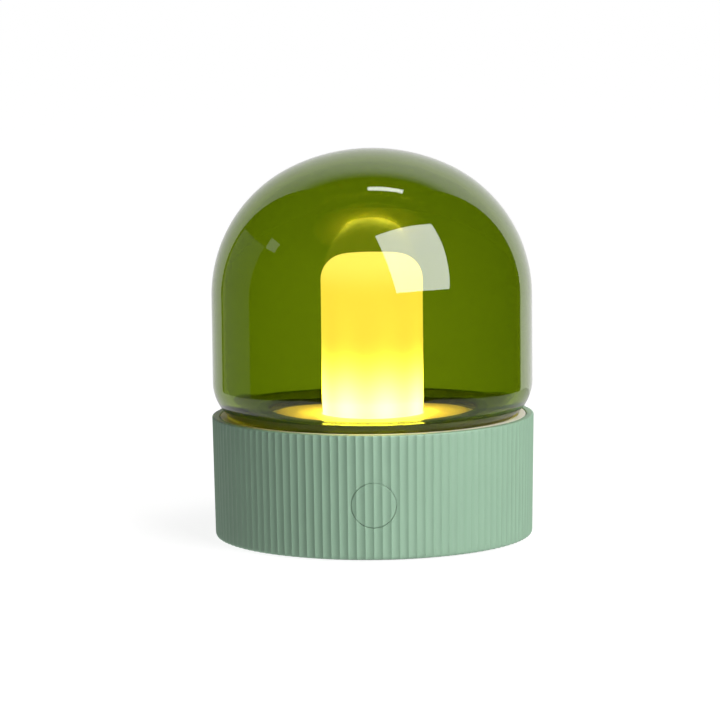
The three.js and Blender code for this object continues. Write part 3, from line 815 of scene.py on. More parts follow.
@dataclass
class GlassBell:
    """The bell: crown, shoulder and foot arcs, a wall of one thickness, and a half-round lip."""

    wall: float = 5.5
    crown_flattening: float = 10.4
    shoulder_inset: float = 7.6
    foot_radius: float = 18.6
    lip_width: float = 5.4
    columns: int = 224
    crown_steps: int = 22
    shoulder_steps: int = 46
    side_steps: int = 14
    foot_steps: int = 34
    lip_steps: int = 18

    def __post_init__(self) -> None:
        """Takes the bell's size and place from the frame."""
        low, high = box("glass_bell")
        self.radius = float(high[0])
        self.top = float(high[2])
        self.lip = float(low[2])

    def wall_points(self, offset: float) -> np.ndarray:
        """One face of the wall, from the axis to the foot.

        The crown and the shoulder are arcs that share a tangent where they meet, at the angle
        whose sine is the shoulder's inset over the difference of their radii. A straight side
        and the foot's quarter arc follow.

        Args:
            offset: How far inside the outer face it lies.

        Returns:
            Rows of (radius, height).
        """
        crown_radius = self.radius + self.crown_flattening
        shoulder_radius = self.radius - self.shoulder_inset
        apart = crown_radius - shoulder_radius
        crown_centre = self.top - crown_radius
        rise = math.sqrt(apart**2 - self.shoulder_inset**2)
        shoulder = (self.shoulder_inset, crown_centre + rise)
        side = self.radius - offset
        join = math.degrees(math.asin(self.shoulder_inset / apart))
        foot = (self.radius - self.foot_radius, self.lip + self.foot_radius)
        return joined(
            arc((0, crown_centre), crown_radius - offset, 0, join, self.crown_steps),
            arc(shoulder, shoulder_radius - offset, join, 90, self.shoulder_steps),
            line((side, shoulder[1]), (side, foot[1]), self.side_steps),
            arc(foot, self.foot_radius - offset, 90, 180, self.foot_steps),
        )

    def build(self) -> None:
        """Both faces of the wall, joined round the lip, as one closed glass."""
        edge = self.wall / 2
        opening = self.radius - self.foot_radius - self.lip_width
        lip = arc((opening + edge, self.lip + edge), edge, 180, 360, self.lip_steps)
        profile = joined(self.wall_points(0), lip, self.wall_points(self.wall)[::-1])
        bell = surface("glass", lathe(profile, self.columns))
        dressed(bell, Slot.OLIVE_GLASS, Body.BELL, "glass_bell")


@dataclass
class RibbedBase:
    """The sleeve and the button in it, which share one fluted outer surface."""

    ribs: int = 120
    flute_depth: float = 0.42
    steps_per_rib: int = 12
    draft: float = 0.8
    bottom_inset: float = 1.0
    bottom_round: float = 1.6
    top_round: float = 0.55
    rim_wall: float = 3.1
    bore_wall: float = 5.2
    cover_bore: float = 66.0
    deck_depth: float = 9.1
    cover_seat: float = 3.7
    button_radius: float = 9.4
    button_round: float = 0.25
    button_gap: float = 0.18
    flange_inset: float = 1.8
    flange_thickness: float = 1.2
    stem_radius: float = 2.0
    slot_clearance: float = 0.85
    wall_land: float = 1.0
    inner_round: float = 0.3
    stem_round: float = 0.2
    hole_depth: float = 12.0
    slot_depth: float = 6.0
    # Where the button's hole meets the outside: depths below the ridges, and how much wider it is.
    hole_flare: tuple[tuple[float, float], ...] = ((0.1, 0.1), (-0.12, 0.34), (-3.0, 0.4))
    # Where the slot meets the outside: how much wider it is, and how far outside the ridges.
    slot_flare: tuple[tuple[float, float], ...] = ((0.0, -0.7), (0.4, -0.2), (0.6, 3.0))
    hole_columns: int = 160
    face_columns: int = 288
    face_rings: int = 72
    sharp: float = 40.0

    def __post_init__(self) -> None:
        """Takes the sleeve's and the button's places from the frame."""
        low, high = box("base_sleeve")
        self.radius = float(high[0])
        self.bottom = float(low[2])
        self.rim = float(high[2])
        self.button_height = float(middle("button_cap")[2])
        self.stem_end = float(box("button_cap")[1][1])
        self.bore = self.radius - self.bore_wall

    def flute(self, angle: np.ndarray) -> np.ndarray:
        """How deep the flutes are at an angle: depth times 4 u (1 - u), u the share of a rib passed.

        Args:
            angle: Angles about Z from straight ahead, in radians.

        Returns:
            The depth below the ridges, in millimetres.
        """
        share = np.mod(angle * self.ribs / (2 * math.pi), 1.0)
        return self.flute_depth * 4 * share * (1 - share)

    def ridge(self, height: np.ndarray) -> np.ndarray:
        """The ridges' radius at a height: it narrows evenly towards the ground."""
        low = self.bottom + self.bottom_round
        return self.radius - self.draft * np.clip((self.rim - height) / (self.rim - low), 0, 1)

    def front(self, x: np.ndarray, z: np.ndarray) -> np.ndarray:
        """The Y of the fluted surface in front, at x and z: minus the root of r^2 - x^2."""
        ridge = self.ridge(z)
        radius = ridge - self.flute(np.arcsin(x / ridge))
        return -np.sqrt(radius**2 - x**2)

    def sleeve_grid(self) -> np.ndarray:
        """The sleeve's section carried round the axis, with the flutes taken off its outer rows.

        Returns:
            A grid that closes on itself both ways.
        """
        low = self.bottom + self.bottom_round
        foot_radius = self.radius - self.draft
        quarter = arc((0, 0), 1.0, 180, 90, 6)
        foot = quarter * (self.bottom_inset, self.bottom_round) + (foot_radius - self.bottom_inset, low)
        shoulder = self.rim - self.top_round
        side = line((foot_radius, low), (self.radius, shoulder), 24)
        edge = arc((self.radius - self.top_round, shoulder), self.top_round, 90, 0, 5)
        outer = joined(foot, side, edge)
        ledge = self.rim - self.deck_depth
        rim_bore = self.radius - self.rim_wall
        inner = rounded(
            [
                (rim_bore + self.wall_land, self.rim), (rim_bore, self.rim), (rim_bore, ledge),
                (self.bore, ledge), (self.bore, self.cover_seat), (self.cover_bore, self.cover_seat),
                (self.cover_bore, self.bottom), (self.cover_bore + self.wall_land, self.bottom),
            ],
            self.inner_round, closed=False, steps=2,
        )
        angle = angles(self.ribs * self.steps_per_rib)
        depth = np.concatenate([np.ones(len(outer)), np.zeros(len(inner))])[:, None] * self.flute(angle)
        profile = np.concatenate([outer, inner])
        return turned(profile[:, :1] - depth, profile[:, 1:], angle - math.pi / 2)

    def hole(self) -> bpy.types.Object:
        """The tool for the button's hole: a tube along Y whose mouth flares at the curved outside.

        Each row is a ring of the hole's radius about the button's axis, pushed out to a depth
        below the outer surface, and the last rows are wider.

        Returns:
            The tool shape.
        """
        around = angles(self.hole_columns)
        flare = np.array([(self.hole_depth, 0.0), (self.button_round, 0.0), *self.hole_flare])
        radius = self.button_radius + self.button_gap + flare[:, 1:]
        x = radius * np.cos(around)
        z = self.button_height + radius * np.sin(around)
        y = flare[:, :1] - np.sqrt(self.ridge(z) ** 2 - x**2)
        return surface("hole", capped(np.stack([x, y, z], axis=2)))

    def slot(self) -> bpy.types.Object:
        """The tool for the charging slot: a round-ended outline carried along Y."""
        reach = self.slot_clearance
        flare = [(reach + wider, self.radius + out) for wider, out in self.slot_flare]
        rows = [(reach, self.bore - self.slot_depth), *flare]
        return surface("slot", Outline.of("charging_socket").grid(rows))

    def button_grid(self) -> np.ndarray:
        """The button: rings on the fluted surface, a rounded edge, then its flange and stem.

        Returns:
            A grid of rings about the button's axis, from the middle of its face to its stem.
        """
        around = angles(self.face_columns)
        face = np.linspace(0, self.button_radius - self.button_round, self.face_rings)
        turn = np.radians(np.linspace(0, 90, 6))[1:]
        ring = np.concatenate([face, self.button_radius - self.button_round * (1 - np.sin(turn))])
        depth = np.concatenate([0 * face, self.button_round * (1 - np.cos(turn))])[:, None]
        x = ring[:, None] * np.cos(around)
        z = self.button_height + ring[:, None] * np.sin(around)
        front = np.stack([x, self.front(x, z) + depth, z], axis=2)
        behind = self.button_radius + self.flange_inset
        flange = -(math.sqrt(self.bore**2 - behind**2) - LOOSE_GAP)
        back = rounded(
            [
                (self.button_radius, flange), (behind, flange), (behind, flange + self.flange_thickness),
                (self.stem_radius, flange + self.flange_thickness), (self.stem_radius, self.stem_end),
                (0, self.stem_end),
            ],
            self.stem_round, closed=False, steps=2,
        )
        x = back[:, :1] * np.cos(around)
        z = self.button_height + back[:, :1] * np.sin(around)
        return np.concatenate([front, np.stack([x, back[:, 1:] + 0 * x, z], axis=2)])

    def build(self) -> None:
        """The sleeve with its hole and slot, and the button."""
        sleeve = surface("sleeve", self.sleeve_grid(), ring=True, sharp=self.sharp)
        shaped(sleeve, [self.hole(), self.slot()], Cut.AWAY, self.sharp)
        dressed(sleeve, Slot.SAGE_PLASTIC, Body.BASE, "base_sleeve")
        button = surface("button", self.button_grid(), sharp=self.sharp)
        dressed(button, Slot.SAGE_PLASTIC, Body.BUTTON, "button_cap")


@dataclass
class Outline:
    """A rectangle with round ends, across Y, that grids are carried along."""

    width: float
    height: float
    centre: np.ndarray
    columns: int = 96

    @classmethod
    def of(cls, node: str) -> Outline:
        """The outline of a CAD node."""
        low, high = box(node)
        return cls(float(high[0] - low[0]), float(high[2] - low[2]), (low + high) / 2)

    def ring(self, grow: float) -> np.ndarray:
        """The outline grown by a distance: a half circle at each end of a straight middle.

        Args:
            grow: How far outside the outline it lies.

        Returns:
            Rows of (x, z), once round.
        """
        around = angles(self.columns)
        end = self.height / 2 + grow
        shift = np.sign(np.round(np.cos(around), 9)) * (self.width - self.height) / 2
        return np.stack([shift + end * np.cos(around), end * np.sin(around)], axis=1)

    def grid(self, rows: Sequence[tuple[float, float]]) -> np.ndarray:
        """The outline carried along Y, and closed at both ends.

        Args:
            rows: For each row, how far it is grown, and its Y.

        Returns:
            A grid of rings.
        """
        rings = np.stack([np.insert(self.ring(grow), 1, y, axis=1) for grow, y in rows])
        return capped(rings) + (self.centre[0], 0, self.centre[2])


@dataclass(frozen=True)
class Screw:
    """A pan-head screw: a domed head with a cross recess, and a threaded shank.

    The head's flat middle and its edge are the share land of its radius and height, and the cross
    has arms whose half length and half width are shares of the head's radius. Its walls slope,
    so that it is narrower at its floor and wider at its mouth.
    """

    length: float
    head: float = 2.9
    head_height: float = 1.8
    land: float = 0.45
    dome_squash: float = 0.5
    dome_steps: int = 8
    shank: float = 1.5
    neck: float = 0.25
    unthreaded: float = 0.3
    pitch: float = 1.0
    thread: float = 0.16
    rows_per_pitch: int = 10
    tip_share: float = 0.35
    recess: float = 0.9
    arm_length: float = 0.62
    arm_width: float = 0.15
    floor_share: float = 0.75
    mouth_share: float = 1.2
    mouth_clear: float = 0.6
    columns: int = 36
    sharp: float = 30.0

    def grid(self) -> np.ndarray:
        """The screw about Z, with its head's underside at 0 and its shank upwards.

        The shank's radius is the root's plus the thread's height times a triangle wave of
        z / pitch - a / 2 pi, which winds up the shank.

        Returns:
            A grid from the middle of the head to the tip.
        """
        edge = (self.head * self.land, -self.head_height * self.land)
        dome = arc((0, 0), self.head * (1 - self.land), 180, 90, self.dome_steps)
        dome = dome * (1, self.dome_squash) + edge
        head = joined((0, dome[0, 1]), dome, (self.head, 0), (self.shank, 0))
        rows = int(self.length / self.pitch * self.rows_per_pitch)
        height = np.linspace(self.neck, self.length, rows)[:, None]
        angle = angles(self.columns)
        wave = np.abs(np.mod(height / self.pitch - angle / (2 * math.pi), 1.0) - 0.5) * 2
        taper = np.clip((self.length - height) / self.shank, self.tip_share, 1.0)
        started = np.clip((height - self.unthreaded) / self.pitch, 0, 1)
        radius = (self.shank - self.thread * (1 - wave * started)) * taper
        tip = np.zeros((1, self.columns, 3)) + (0, 0, self.length)
        return np.concatenate([lathe(head, self.columns), turned(radius, height, angle), tip])

    def arm(self, wide: float, deep: float) -> np.ndarray:
        """One arm of the cross recess: a four-sided shape with sloping walls.

        Args:
            wide: Its half size along X.
            deep: Its half size along Y.

        Returns:
            A grid of rings of four corners.
        """
        corners = np.array([[wide, deep], [-wide, deep], [-wide, -deep], [wide, -deep]])
        floor = np.insert(corners * self.floor_share, 2, self.recess - self.head_height, axis=1)
        mouth = np.insert(corners * self.mouth_share, 2, -self.head_height - self.mouth_clear, axis=1)
        return capped(np.stack([floor, mouth]))

    def build(self, node: str, axis: Axis) -> None:
        """The screw that a CAD node stands for, with the cross cut into its head.

        Args:
            node: The CAD node.
            axis: Where its shank points from its head.
        """
        low, high = box(node)
        centre = (low + high) / 2
        seat = low[2] + self.head_height if axis is Axis.UP else high[2] - self.head_height
        place = (centre[0], centre[1], seat)
        name = node.replace("_screw_", ".screw.")
        screw = surface(name, placed(self.grid(), place, axis), sharp=self.sharp)
        long, narrow = self.head * self.arm_length, self.head * self.arm_width
        arms = [self.arm(*sizes) for sizes in ((long, narrow), (narrow, long))]
        shaped(screw, [surface("arm", placed(arm, place, axis)) for arm in arms], Cut.AWAY, self.sharp)
        dressed(screw, Slot.STEEL, Body.BASE, node)


@dataclass
class Screws:
    """The screws of the cover, of the main board and of the LEDs' carrier."""

    cover: Screw = Screw(COVER_SCREW_LENGTH)
    board: Screw = Screw(4.2, head=2.2, head_height=1.4, shank=1.1, pitch=0.8, thread=0.13)
    carrier: Screw = Screw(5.6)

    def build(self) -> None:
        """A screw in place of each screw's CAD node."""
        for number in CORNER_SCREWS:
            self.cover.build(f"cover_screw_{number}", Axis.UP)
            self.board.build(f"board_screw_{number}", Axis.DOWN)
        for number in CARRIER_SCREWS:
            self.carrier.build(f"carrier_screw_{number}", Axis.UP)


@dataclass
class Seat:
    """The off-white seat of the glass, with its posts, and the gasket in its groove."""

    deck_hole: float = 21.1
    counterbore: float = 25.9
    boss: float = 43.6
    groove_inner: float = 47.0
    groove_outer: float = 52.2
    cradle_radius: float = 19.3
    cradle_centre: tuple[float, float] = (51.0, 14.6)
    outer: float = 66.5
    deck_top: float = -6.0
    deck_under: float = -8.8
    boss_top: float = -5.7
    counterbore_floor: float = -8.0
    groove_floor: float = -7.2
    ring_top: float = -0.2
    ring_land: float = 0.4
    shell: float = 1.6
    # The hollow under the ring: how far below the shell it is at its outer wall, how far inside
    # the ring and below the shell its inner end is, and how far outside the cradle's foot it starts.
    hollow_outer_drop: float = 1.2
    hollow_inner_inset: float = 3.0
    hollow_inner_drop: float = 2.6
    hollow_foot: float = 4.5
    edge_round: float = 0.35
    post_radius: float = 4.2
    post_bottom: float = 5.7
    post_overlap: float = 0.2
    screw_hole: float = 1.8
    cradle_steps: int = 30
    gasket_round: float = 0.7
    rim: float = field(default_factory=lambda: float(box("base_sleeve")[1][2]))

    def profile(self) -> np.ndarray:
        """The seat's section: deck, boss, groove, the cradle's arc round the glass, and the ring."""
        radius, height = self.cradle_centre
        start = 180 - math.degrees(math.asin((self.groove_outer - radius) / self.cradle_radius))
        stop = 180 - math.degrees(math.acos((height - self.ring_top) / self.cradle_radius))
        cradle = arc(self.cradle_centre, self.cradle_radius, start, stop, self.cradle_steps)
        ring_inner = cradle[-1, 0]
        core = self.outer - self.shell - LOOSE_GAP
        under = self.ring_top - self.shell
        deck = rounded(
            [
                (radius + self.hollow_foot, self.deck_under), (self.deck_hole, self.deck_under),
                (self.deck_hole, self.counterbore_floor), (self.counterbore, self.counterbore_floor),
                (self.counterbore, self.boss_top), (self.boss, self.boss_top), (self.boss, self.deck_top),
                (self.groove_inner, self.deck_top), (self.groove_inner, self.groove_floor),
                (self.groove_outer, self.groove_floor), tuple(cradle[0]),
            ],
            self.edge_round, closed=False,
        )
        ring = rounded(
            [
                tuple(cradle[-1]), (ring_inner + self.ring_land, self.ring_top),
                (self.outer, self.ring_top), (self.outer, self.deck_under), (core, self.deck_under),
                (core, under - self.hollow_outer_drop),
                (ring_inner - self.hollow_inner_inset, under - self.hollow_inner_drop),
                (radius + self.hollow_foot, self.deck_under),
            ],
            self.edge_round, closed=False,
        )
        points = joined(deck, cradle, ring)[:-1]
        return points + (0, self.rim)

    def posts(self) -> tuple[list[bpy.types.Object], list[bpy.types.Object]]:
        """The posts that the cover's screws hold, and all the screw holes, as tool shapes."""
        corners = [middle(f"cover_screw_{number}") for number in CORNER_SCREWS]
        top = self.rim + self.deck_top + self.post_overlap
        posts = [pillar(place, self.post_radius, self.post_bottom, top) for place in corners]
        low, high = self.post_bottom - OVERSHOOT, self.post_bottom + COVER_SCREW_LENGTH
        holes = [pillar(place, self.screw_hole, low, high) for place in corners]
        low = self.rim + self.deck_under - OVERSHOOT
        for number in CARRIER_SCREWS:
            node = f"carrier_screw_{number}"
            high = float(box(node)[1][2]) + TOUCH_GAP
            holes.append(pillar(middle(node), self.screw_hole, low, high))
        return posts, holes

    def build(self) -> None:
        """The seat, and the gasket."""
        seat = surface("seat", lathe(self.profile(), RING_COLUMNS), ring=True)
        posts, holes = self.posts()
        shaped(seat, posts, Cut.ON)
        shaped(seat, holes, Cut.AWAY)
        dressed(seat, Slot.OFF_WHITE_PLASTIC, Body.BASE, "seat_deck")
        low, high = box("bell_gasket")
        radii = (self.groove_inner + LOOSE_GAP, high[0])
        gasket = hoop("gasket", radii, (low[2], high[2]), self.gasket_round)
        dressed(gasket, Slot.SILICONE, Body.BASE, "bell_gasket")


@dataclass
class Light:
    """What shines and what mirrors it: the candle-shaped diffuser and the disc at its foot."""

    wall: float = 2.6
    corner: float = 11.0
    radius: float = 22.1
    flange_thickness: float = 1.7
    flange_round: float = 0.3
    disc_round: float = 0.5
    columns: int = 192
    inner_corner_steps: int = 14
    outer_corner_steps: int = 24

    def diffuser_profile(self) -> np.ndarray:
        """Inside from the axis down to the flange, then up the outside and over the round top."""
        low, high = box("light_diffuser")
        bore = self.radius - self.wall
        shoulder = high[2] - self.corner
        inner_corner = self.corner - self.wall
        flange = [
            (bore, shoulder), (bore, low[2]), (high[0], low[2]), (high[0], low[2] + self.flange_thickness),
            (self.radius, low[2] + self.flange_thickness), (self.radius, shoulder),
        ]
        return joined(
            line((0, high[2] - self.wall), (bore - inner_corner, high[2] - self.wall), 3),
            arc((bore - inner_corner, shoulder), inner_corner, 0, 90, self.inner_corner_steps),
            rounded(flange, self.flange_round, closed=False),
            arc((self.radius - self.corner, shoulder), self.corner, 90, 0, self.outer_corner_steps),
            line((self.radius - self.corner, high[2]), (0, high[2]), 6),
        )

    def build(self) -> None:
        """The diffuser, and the reflector disc round it."""
        diffuser = surface("diffuser", lathe(self.diffuser_profile(), self.columns))
        dressed(diffuser, Slot.OPAL_DIFFUSER, Body.BASE, "light_diffuser")
        low, high = box("reflector_disc")
        disc = hoop("reflector", (self.radius + LOOSE_GAP, high[0]), (low[2], high[2]), self.disc_round)
        dressed(disc, Slot.GOLD_REFLECTOR, Body.BASE, "reflector_disc")


@dataclass
class Underside:
    """The bottom cover with its bosses, and the rubber ring that the lamp stands on."""

    foot_width: float = 4.2
    foot_round: float = 0.5
    plate_above_heads: float = 2.2
    plate_round: float = 0.3
    boss_radius: float = 4.2
    boss_height: float = 2.0
    boss_overlap: float = 0.5
    head_height: float = 1.8
    head_bore: float = 3.3
    shank_bore: float = 1.8
    post_radius: float = 2.8
    post_bore: float = 1.4
    post_floor: float = 1.0

    def build(self) -> None:
        """The foot, and the cover with a groove for it, screw bosses and the board's posts."""
        low, high = box("foot_ring")
        outer = float(high[0])
        inner = outer - self.foot_width
        foot = hoop("foot", (inner, outer), (low[2], high[2]), self.foot_round)
        dressed(foot, Slot.FOOT_RUBBER, Body.BASE, "foot_ring")
        under, radius = float(box("bottom_cover")[0][2]), float(box("bottom_cover")[1][0])
        head = float(box("cover_screw_1")[0][2])
        top = head + self.plate_above_heads
        groove = float(high[2]) + TOUCH_GAP
        section = rounded(
            [
                (0, under), (inner - TOUCH_GAP, under), (inner - TOUCH_GAP, groove),
                (outer + TOUCH_GAP, groove), (outer + TOUCH_GAP, under), (radius, under),
                (radius, top), (0, top),
            ],
            self.plate_round, closed=False, steps=3,
        )
        cover = surface("cover", lathe(section, RING_COLUMNS))
        boss_foot, boss_top = top - self.boss_overlap, top + self.boss_height
        post_top = float(box("main_board")[0][2]) - TOUCH_GAP
        bosses = []
        bores = []
        for number in CORNER_SCREWS:
            place = middle(f"cover_screw_{number}")
            bosses.append(pillar(place, self.boss_radius, boss_foot, boss_top))
            seat = head + self.head_height + TOUCH_GAP
            bores.append(pillar(place, self.head_bore, under - OVERSHOOT, seat))
            bores.append(pillar(place, self.shank_bore, under - OVERSHOOT, boss_top + OVERSHOOT))
            place = middle(f"board_screw_{number}")
            bosses.append(pillar(place, self.post_radius, boss_foot, post_top))
            bores.append(pillar(place, self.post_bore, under + self.post_floor, post_top + OVERSHOOT))
        shaped(cover, bosses, Cut.ON)
        shaped(cover, bores, Cut.AWAY)
        dressed(cover, Slot.DARK_PLASTIC, Body.BASE, "bottom_cover")


@dataclass
class ChargingPort:
    """The charging socket's drawn steel shell, open at the back of the lamp."""

    wall: float = 0.3
    closed_edge: float = 0.4
    edge: float = 0.1
    inner_edge: float = 0.12

    def build(self) -> None:
        """The shell: in from its closed end, round its mouth, and back inside."""
        low, high = box("charging_socket")
        back, mouth = float(low[1]), float(high[1])
        rows = [
            (-self.closed_edge, back), (-self.edge, back + self.edge), (0.0, back + self.closed_edge),
            (0.0, mouth - self.edge), (-self.edge, mouth), (-2 * self.edge, mouth),
            (-self.wall, mouth - self.inner_edge), (-self.wall, back + 2 * self.wall),
        ]
        shell = surface("socket", Outline.of("charging_socket").grid(rows))
        dressed(shell, Slot.STEEL, Body.BASE, "charging_socket")


@dataclass
class Cells:
    """The two cells: wrapped cans with a groove, a crimped shoulder and a nub."""

    radius: float = 9.2
    nub_radius: float = 3.0
    nub: float = 1.0
    groove_place: float = 4.4
    groove_half: float = 0.6
    groove_depth: float = 0.5
    wrap_inset: float = 1.6
    wrap_drop: float = 0.1
    cap_inset: float = 2.0
    cap_drop: float = 0.6
    rounding: float = 0.5
    columns: int = 72

    def profile(self, length: float) -> np.ndarray:
        """A cell's section, from the middle of its flat end to the middle of its nub.

        Args:
            length: Its length without the nub.

        Returns:
            Rows of (radius, height).
        """
        groove = length - self.groove_place
        cap = length - self.cap_drop
        corners = [
            (0, 0), (self.radius, 0), (self.radius, groove - self.groove_half),
            (self.radius - self.groove_depth, groove), (self.radius, groove + self.groove_half),
            (self.radius, length), (self.radius - self.wrap_inset, length - self.wrap_drop),
            (self.radius - self.cap_inset, cap), (self.nub_radius, cap),
            (self.nub_radius, length + self.nub), (0, length + self.nub),
        ]
        return rounded(corners, self.rounding, closed=False, steps=3)

    def build(self) -> None:
        """Each cell, turned along X."""
        for number in (1, 2):
            node = f"battery_cell_{number}"
            low, high = box(node)
            section = self.profile(float(high[0] - low[0]) - self.nub)
            place = (low[0], *middle(node)[1:])
            cell = surface(f"cell.{number}", placed(lathe(section, self.columns), place, Axis.RIGHT))
            dressed(cell, Slot.CELL_WRAP, Body.BASE, node)


class CarriedOver:
    """The CAD nodes whose shape is right as it is: they only need their material."""

    def build(self) -> None:
        """Gives each node that still shows the material of its slot in the record."""
        slots = {part["node"]: part["material_slot"] for part in frame["record"]["subparts"]}
        finishes = {slot.slot: slot for slot in Slot}
        for name, node in frame["nodes"].items():
            if node.hide_render:
                continue
            node.data.materials.clear()
            node.data.materials.append(finishes[slots[name]].material())
            log.info("%s keeps its CAD shape", name)


# ---- Studio ----------------------------------------------------------------------------------

SQUARE = np.array([[-1, -1, 0], [1, -1, 0], [1, 1, 0], [-1, 1, 0]])


@dataclass
class Camera:
    """A long lens, a little above the rim."""

    distance: float = 1400.0
    elevation: float = 7.85
    lens: float = 160.5
    aim_x: float = -5.4
    aim_above_rim: float = 23.3
    roll: float = -0.6
    sensor: float = 36.0

    def build(self) -> None:
        """Stands the camera in front of the button and turns it to its aim."""
        rim = float(box("base_sleeve")[1][2])
        tilt = math.radians(self.elevation)
        place = np.array([0, -self.distance * math.cos(tilt), rim + self.distance * math.sin(tilt)])
        aim = np.array([self.aim_x, 0, rim + self.aim_above_rim])
        data = bpy.data.cameras.new("camera")
        data.lens = self.lens
        data.sensor_width = self.sensor
        camera = linked("camera", data)
        look = Vector(aim - place).to_track_quat("-Z", "Y")
        roll = Matrix.Rotation(math.radians(self.roll), 4, "Z")
        camera.matrix_world = Matrix.Translation(Vector(place * MM)) @ look.to_matrix().to_4x4() @ roll
        bpy.context.scene.camera = camera


class Ray(Enum):
    """The kinds of light path that a stage piece can be hidden from."""

    CAMERA = "visible_camera"
    DIFFUSE = "visible_diffuse"
    GLOSSY = "visible_glossy"
    TRANSMISSION = "visible_transmission"
    SHADOW = "visible_shadow"


def hidden(piece: bpy.types.Object, *rays: Ray) -> None:
    """Hides a stage piece from light paths of the given kinds."""
    for ray in rays:
        setattr(piece, ray.value, False)


@dataclass(frozen=True)
class Card:
    """A bright card that the glass mirrors, in a direction from the bell's middle.

    Its size is its width and height in metres, and its height leans towards upright.
    """

    name: str
    towards: Colour
    size: tuple[float, float]
    strength: float
    upright: Colour = (0, 0, 1)

    def corners(self, middle_height: float, distance: float) -> np.ndarray:
        """Its corners: the middle, plus and minus half its size along its two sides.

        Args:
            middle_height: The height of the bell's middle, in metres.
            distance: How far away the card stands, in metres.

        Returns:
            Four points, in metres.
        """
        direction = np.asarray(self.towards) / np.linalg.norm(self.towards)
        side = np.cross(self.upright, direction)
        side /= np.linalg.norm(side)
        half = SQUARE[:, :2] * np.asarray(self.size) / 2
        middle_point = np.array([0, 0, middle_height]) + direction * distance
        return middle_point + half[:, :1] * side + half[:, 1:] * np.cross(direction, side)


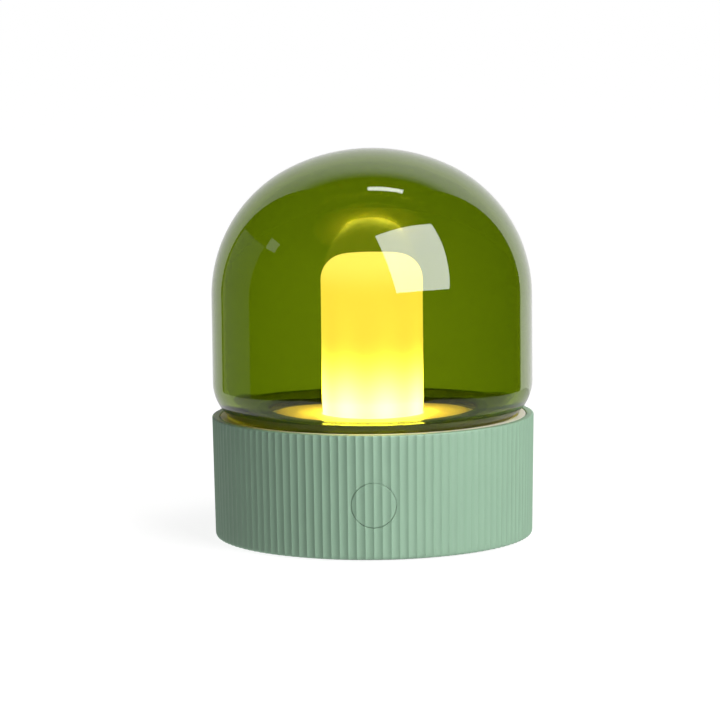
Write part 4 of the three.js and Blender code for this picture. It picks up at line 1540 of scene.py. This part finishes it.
@dataclass
class Studio:
    """A white floor that fades into white surroundings, a soft key light, and mirrored cards.

    Lengths are metres. The backdrop's and the wall's places are shares of backdrop_reach.
    """

    floor_size: float = 60.0
    # The floor's own glow near the lamp: dimmed as painted shade round the lamp's foot.
    painted_shade_glow: float = 0.9
    floor_tone: float = 0.25
    shadow_fade: tuple[float, float] = (0.075, 0.14)
    fill: float = 0.66
    fill_below: float = 0.002
    backdrop_reach: float = 1.4
    backdrop_sides: tuple[float, float] = (-1.0, 1.15)
    backdrop_heights: tuple[float, float] = (-1.0, 2.4)
    backdrop_tones: tuple[float, float] = (0.72, 1.25)
    backdrop_fade: tuple[float, float] = (1.3, 2.4)
    wall_depths: tuple[float, float] = (0.1, 0.9)
    wall_heights: tuple[float, float] = (-1.0, 0.6)
    wall_glow: float = 0.22
    near_floor: float = 0.32
    near_floor_below: float = 0.003
    near_floor_glow: float = 0.75
    key_azimuth: float = 42.0
    key_elevation: float = 34.0
    key_distance: float = 1.5
    key_size: float = 0.9
    key_power: float = 21.5
    bell_middle: float = 0.11
    card_distance: float = 1.2
    cards: tuple[Card, ...] = (
        Card("softbox", (0.521, -0.704, 0.56), (0.92, 1.1), 11.0),
        Card("strip", (0.12, 0.15, 1.0), (0.34, 0.09), 11.0, upright=(0, -1, 0)),
        Card("patch", (-0.85, -0.03, 0.5), (0.22, 0.13), 1.2),
    )
    bounces: int = 24
    glossy_bounces: int = 12

    def plane(self, name: str, corners: Any, material: bpy.types.Material) -> bpy.types.Object:
        """A flat four-cornered stage piece.

        Args:
            name: Its name.
            corners: Its corners, in order, in metres.
            material: What it is made of.

        Returns:
            The new piece.
        """
        mesh = bpy.data.meshes.new(name)
        mesh.from_pydata(corners, [], [(0, 1, 2, 3)])
        mesh.materials.append(material)
        made = linked(name, mesh)
        return made

    def mirrored(self, name: str, corners: Any, material: bpy.types.Material) -> None:
        """A flat stage piece that only mirror-like reflections see."""
        hidden(self.plane(name, corners, material), Ray.CAMERA, Ray.DIFFUSE, Ray.TRANSMISSION, Ray.SHADOW)

    def matt(self, shader: Shader, tone: float, glow: Any, strength: float = 1.0) -> bpy.types.Material:
        """Completes a material with no gloss that gives out light of its own.

        Args:
            shader: Its nodes.
            tone: The share of the light falling on it that it scatters.
            glow: The colour that it gives out.
            strength: How strongly.

        Returns:
            The material.
        """
        return shader.finish(
            Base_Color=(tone,) * 3,
            Specular_IOR_Level=0.0,
            Roughness=1.0,
            Emission_Color=glow,
            Emission_Strength=strength,
        )

    def glow(self, name: str, strength: float) -> bpy.types.Material:
        """A material that gives out white light evenly."""
        return self.matt(Shader(name), 0.0, (1.0, 1.0, 1.0), strength)

    def floor(self) -> None:
        """The floor that is seen, which is nearly white by itself, and the one that gives light.

        The seen floor's own glow is lower near the lamp, a ring of painted shade round its foot,
        and rises with the distance from the lamp, so that the rendered shadow by the lamp shows and
        the rest is even.
        """
        corners = SQUARE * self.floor_size / 2
        shader = Shader("floor")
        x, y, _ = shader.axes()
        away = ((x * x + y * y) ** 0.5).between(*self.shadow_fade)
        # Painted shade: the floor's own glow is dimmer near the lamp's foot and whitens further out.
        white = shader.mix(away, (self.painted_shade_glow,) * 3, (1.0, 1.0, 1.0))
        seen = self.plane("floor", corners, self.matt(shader, self.floor_tone, white))
        hidden(seen, Ray.GLOSSY, Ray.DIFFUSE)
        below = corners - (0, 0, self.fill_below)
        light = self.plane("floor_light", below, self.glow("floor_light", self.fill))
        hidden(light, Ray.CAMERA, Ray.GLOSSY, Ray.TRANSMISSION)

    def behind(self) -> None:
        """What the glass mirrors at its edges: a backdrop, a dim wall on the left, and the near floor.

        The backdrop is brighter on the right, and fades at its top.
        """
        reach = self.backdrop_reach
        shader = Shader("backdrop")
        x, _, z = shader.axes()
        left, right = ((tone,) * 3 for tone in self.backdrop_tones)
        tone = shader.mix((x / reach).between(-1.0, 1.0), left, right)
        fading = shader.mix((z / reach).between(*self.backdrop_fade), tone, (0.0, 0.0, 0.0))
        (west, east), (low, high) = self.backdrop_sides, self.backdrop_heights
        corners = np.array([[west, 1, low], [east, 1, low], [east, 1, high], [west, 1, high]])
        self.mirrored("backdrop", corners * reach, self.matt(shader, 0.0, fading))
        (near, far), (low, high) = self.wall_depths, self.wall_heights
        corners = np.array([[-1, near, low], [-1, far, low], [-1, far, high], [-1, near, high]])
        self.mirrored("wall", corners * reach, self.glow("wall", self.wall_glow))
        corners = SQUARE * self.near_floor - (0, 0, self.near_floor_below)
        self.mirrored("near_floor", corners, self.glow("near_floor", self.near_floor_glow))

    def key(self) -> None:
        """The key light: a large soft source from the front right."""
        data = bpy.data.lights.new("key", "AREA")
        data.shape = "SQUARE"
        data.size = self.key_size
        data.energy = self.key_power
        light = linked("key", data)
        azimuth, tilt = math.radians(self.key_azimuth), math.radians(self.key_elevation)
        level = math.cos(tilt)
        towards = Vector((math.sin(azimuth) * level, -math.cos(azimuth) * level, math.sin(tilt)))
        light.location = towards * self.key_distance
        light.rotation_euler = towards.to_track_quat("Z", "Y").to_euler()
        hidden(light, Ray.CAMERA, Ray.GLOSSY, Ray.TRANSMISSION)

    def surroundings(self) -> None:
        """White surroundings, seen directly and through the glass but not in reflections."""
        world = bpy.data.worlds.new("surroundings")
        world.use_nodes = True
        background = world.node_tree.nodes["Background"]
        background.inputs["Color"].default_value = (1.0, 1.0, 1.0, 1.0)
        background.inputs["Strength"].default_value = 1.0
        bpy.context.scene.world = world
        world.cycles_visibility.glossy = False
        world.cycles_visibility.diffuse = False

    def build(self) -> None:
        """Sets up the tone curve, how far light is followed, and the stage."""
        scene = bpy.context.scene
        scene.view_settings.view_transform = "Standard"
        scene.cycles.max_bounces = self.bounces
        scene.cycles.transmission_bounces = self.bounces
        scene.cycles.glossy_bounces = self.glossy_bounces
        scene.cycles.use_denoising = True
        self.floor()
        self.behind()
        self.key()
        self.surroundings()
        for card in self.cards:
            corners = card.corners(self.bell_middle, self.card_distance)
            self.mirrored(card.name, corners, self.glow(card.name, card.strength))


def main() -> None:
    """Builds the camera, the lamp's sub-assemblies and the studio, in order."""
    logging.basicConfig(level=logging.INFO, format="%(name)s: %(message)s")
    pieces = (GlassBell, RibbedBase, Seat, Light, Underside, ChargingPort, Cells, Screws, CarriedOver)
    for part in (Camera, *pieces, Studio):
        part().build()


if __name__ == "__main__":
    main()
